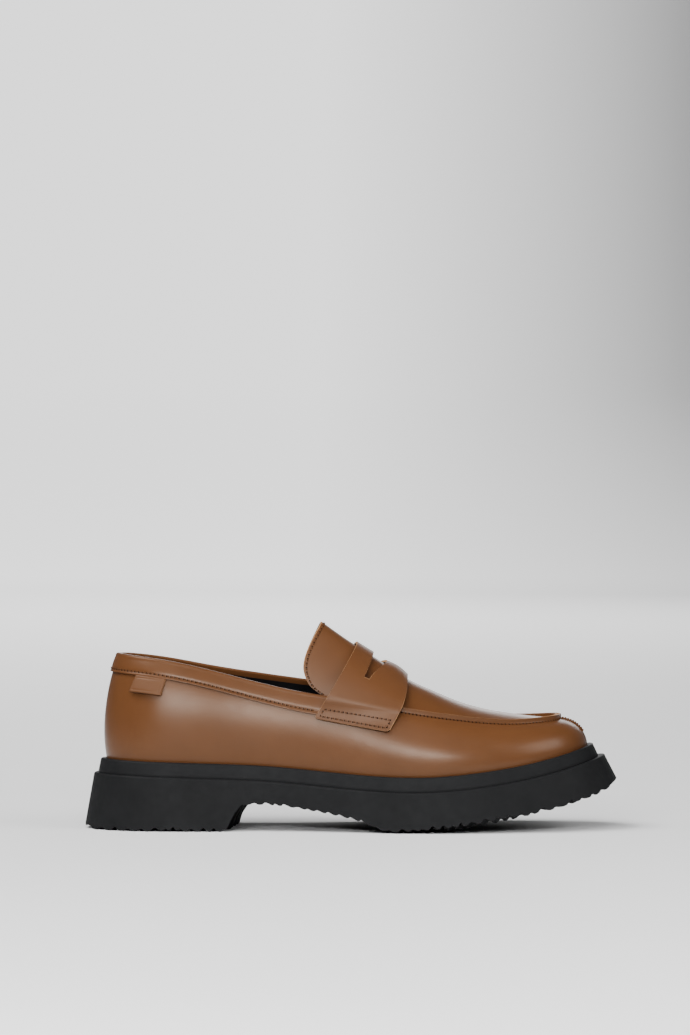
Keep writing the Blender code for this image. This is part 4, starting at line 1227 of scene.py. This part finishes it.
def studio_paper_look():
    """Pale paper with painted light: it glows more the further behind it lies and less far out to both sides,
    where its colour also darkens as painted shade.
    """
    look = Look("studio_paper", 0.9, specular=0.0)
    split = look.node("SeparateXYZ", Vector=look.place)
    # Painted light: the paper glows, less far out to both sides and more with distance behind.
    left = look.spread(split.outputs["X"], 0.1, 1.0, -1.7, -0.6)
    right = look.spread(split.outputs["X"], 1.0, 0.1, -0.04, 0.62)
    sides = look.combine("MULTIPLY", left, right)
    depth = look.spread(split.outputs["Y"], 0.0, 1.55, 0.0, 3.2)
    look.set("Emission Color", (1, 1, 1, 1))
    look.set("Emission Strength", look.combine("MULTIPLY", sides, depth))
    # Painted shade: the colour darkens from pale near the shoe to dark far out to both sides, the pale band
    # widening with distance behind; the noise adds a faint real mottle.
    aside = look.combine("ABSOLUTE", split.outputs["X"])
    beside = look.combine("MULTIPLY_ADD", split.outputs["Y"], -0.034, aside)
    wide = look.spread(beside, 0.0, 1.0, 0.24, 0.85)
    mottle_and_painted_shade = look.combine("MULTIPLY_ADD", look.noise(3, 2), 0.03, wide)
    look.tint(mottle_and_painted_shade, (0.76,) * 3, (0.13,) * 3, 0.0)
    return look.material


def make_backdrop():
    """A pale floor that sweeps up behind."""
    bend = np.linspace(0, math.pi / 2, 16)[1:]
    y = np.concatenate([[-9.0, 0.0, 9.0], 9 + 3 * np.sin(bend), [12.0]])
    z = np.concatenate([np.zeros(3), 3 - 3 * np.cos(bend), [9.0]])
    points = [(x, b, c) for b, c in zip(y, z) for x in (-12, 12)]
    faces = [[2 * i, 2 * i + 1, 2 * i + 3, 2 * i + 2] for i in range(len(y) - 1)]
    piece("studio_floor", points, faces, [studio_paper_look()])


def make_lights():
    """A low strip in front for the long highlight, and wide lights above, in front, to the right and behind."""
    for name, where, size, power, aim in (
        ("key_light", (-0.35, -2.35, 0.77), (1.2, 0.3), 40, (0, 0, 0.06)),
        ("front_light", (-0.4, -1.7, 1.95), (2.0, 1.5), 60, (0, 0, 0.05)),
        ("side_light", (2.0, -1.1, 1.4), (1.8, 1.3), 34, (0.05, 0, 0.05)),
        ("top_light", (-1.3, -0.4, 2.3), (1.8, 1.6), 70, (0, 0.1, 0)),
        ("back_light", (0.4, 2.6, 0.8), (1.2, 0.7), 9, (0, 0, 0.06)),
    ):
        data = bpy.data.lights.new(name, "AREA")
        data.shape = "RECTANGLE"
        data.size, data.size_y = size
        data.energy = power
        light = linked(name, data)
        light.location = where
        light.visible_glossy = name != "front_light"
        light.visible_camera = False
        light.rotation_euler = (Vector(aim) - Vector(where)).to_track_quat("-Z", "Y").to_euler()


def make_world():
    world = bpy.data.worlds.new("studio")
    world.use_nodes = True
    background = world.node_tree.nodes["Background"]
    background.inputs["Color"].default_value = (0.9, 0.92, 0.95, 1)
    background.inputs["Strength"].default_value = 0.11
    bpy.context.scene.world = world


def make_camera():
    """Looks along +Y at the outer side from a little above it, with the shoe low in an upright frame."""
    aim = Vector(((cad_low + cad_high).x / 2 - CAMERA_AIM_BACK, 0, CAMERA_AIM_Z))
    data = bpy.data.cameras.new("camera")
    data.sensor_fit = "HORIZONTAL"
    data.sensor_width = SENSOR
    data.lens = SENSOR * CAMERA_DISTANCE / VIEW_WIDTH
    camera = linked("camera", data)
    camera.location = aim + Vector((0, -math.cos(CAMERA_TILT), math.sin(CAMERA_TILT))) * CAMERA_DISTANCE
    camera.rotation_euler = (math.radians(90) - CAMERA_TILT, 0, 0)
    bpy.context.scene.camera = camera


make_upper("lateral_upper", 0.0008, 0.9992)
make_upper("medial_upper", 1.0008, 1.9992)
make_apron()
make_tongue()
make_strap()
make_strap_stitches()
make_collar()
make_apron_stitches()
make_toe_stitches()
make_tab()
make_quarter_lining()
make_midsole()
make_outsole()
make_footbed()
finish_hidden_nodes()
make_backdrop()
make_lights()
make_world()
make_camera()
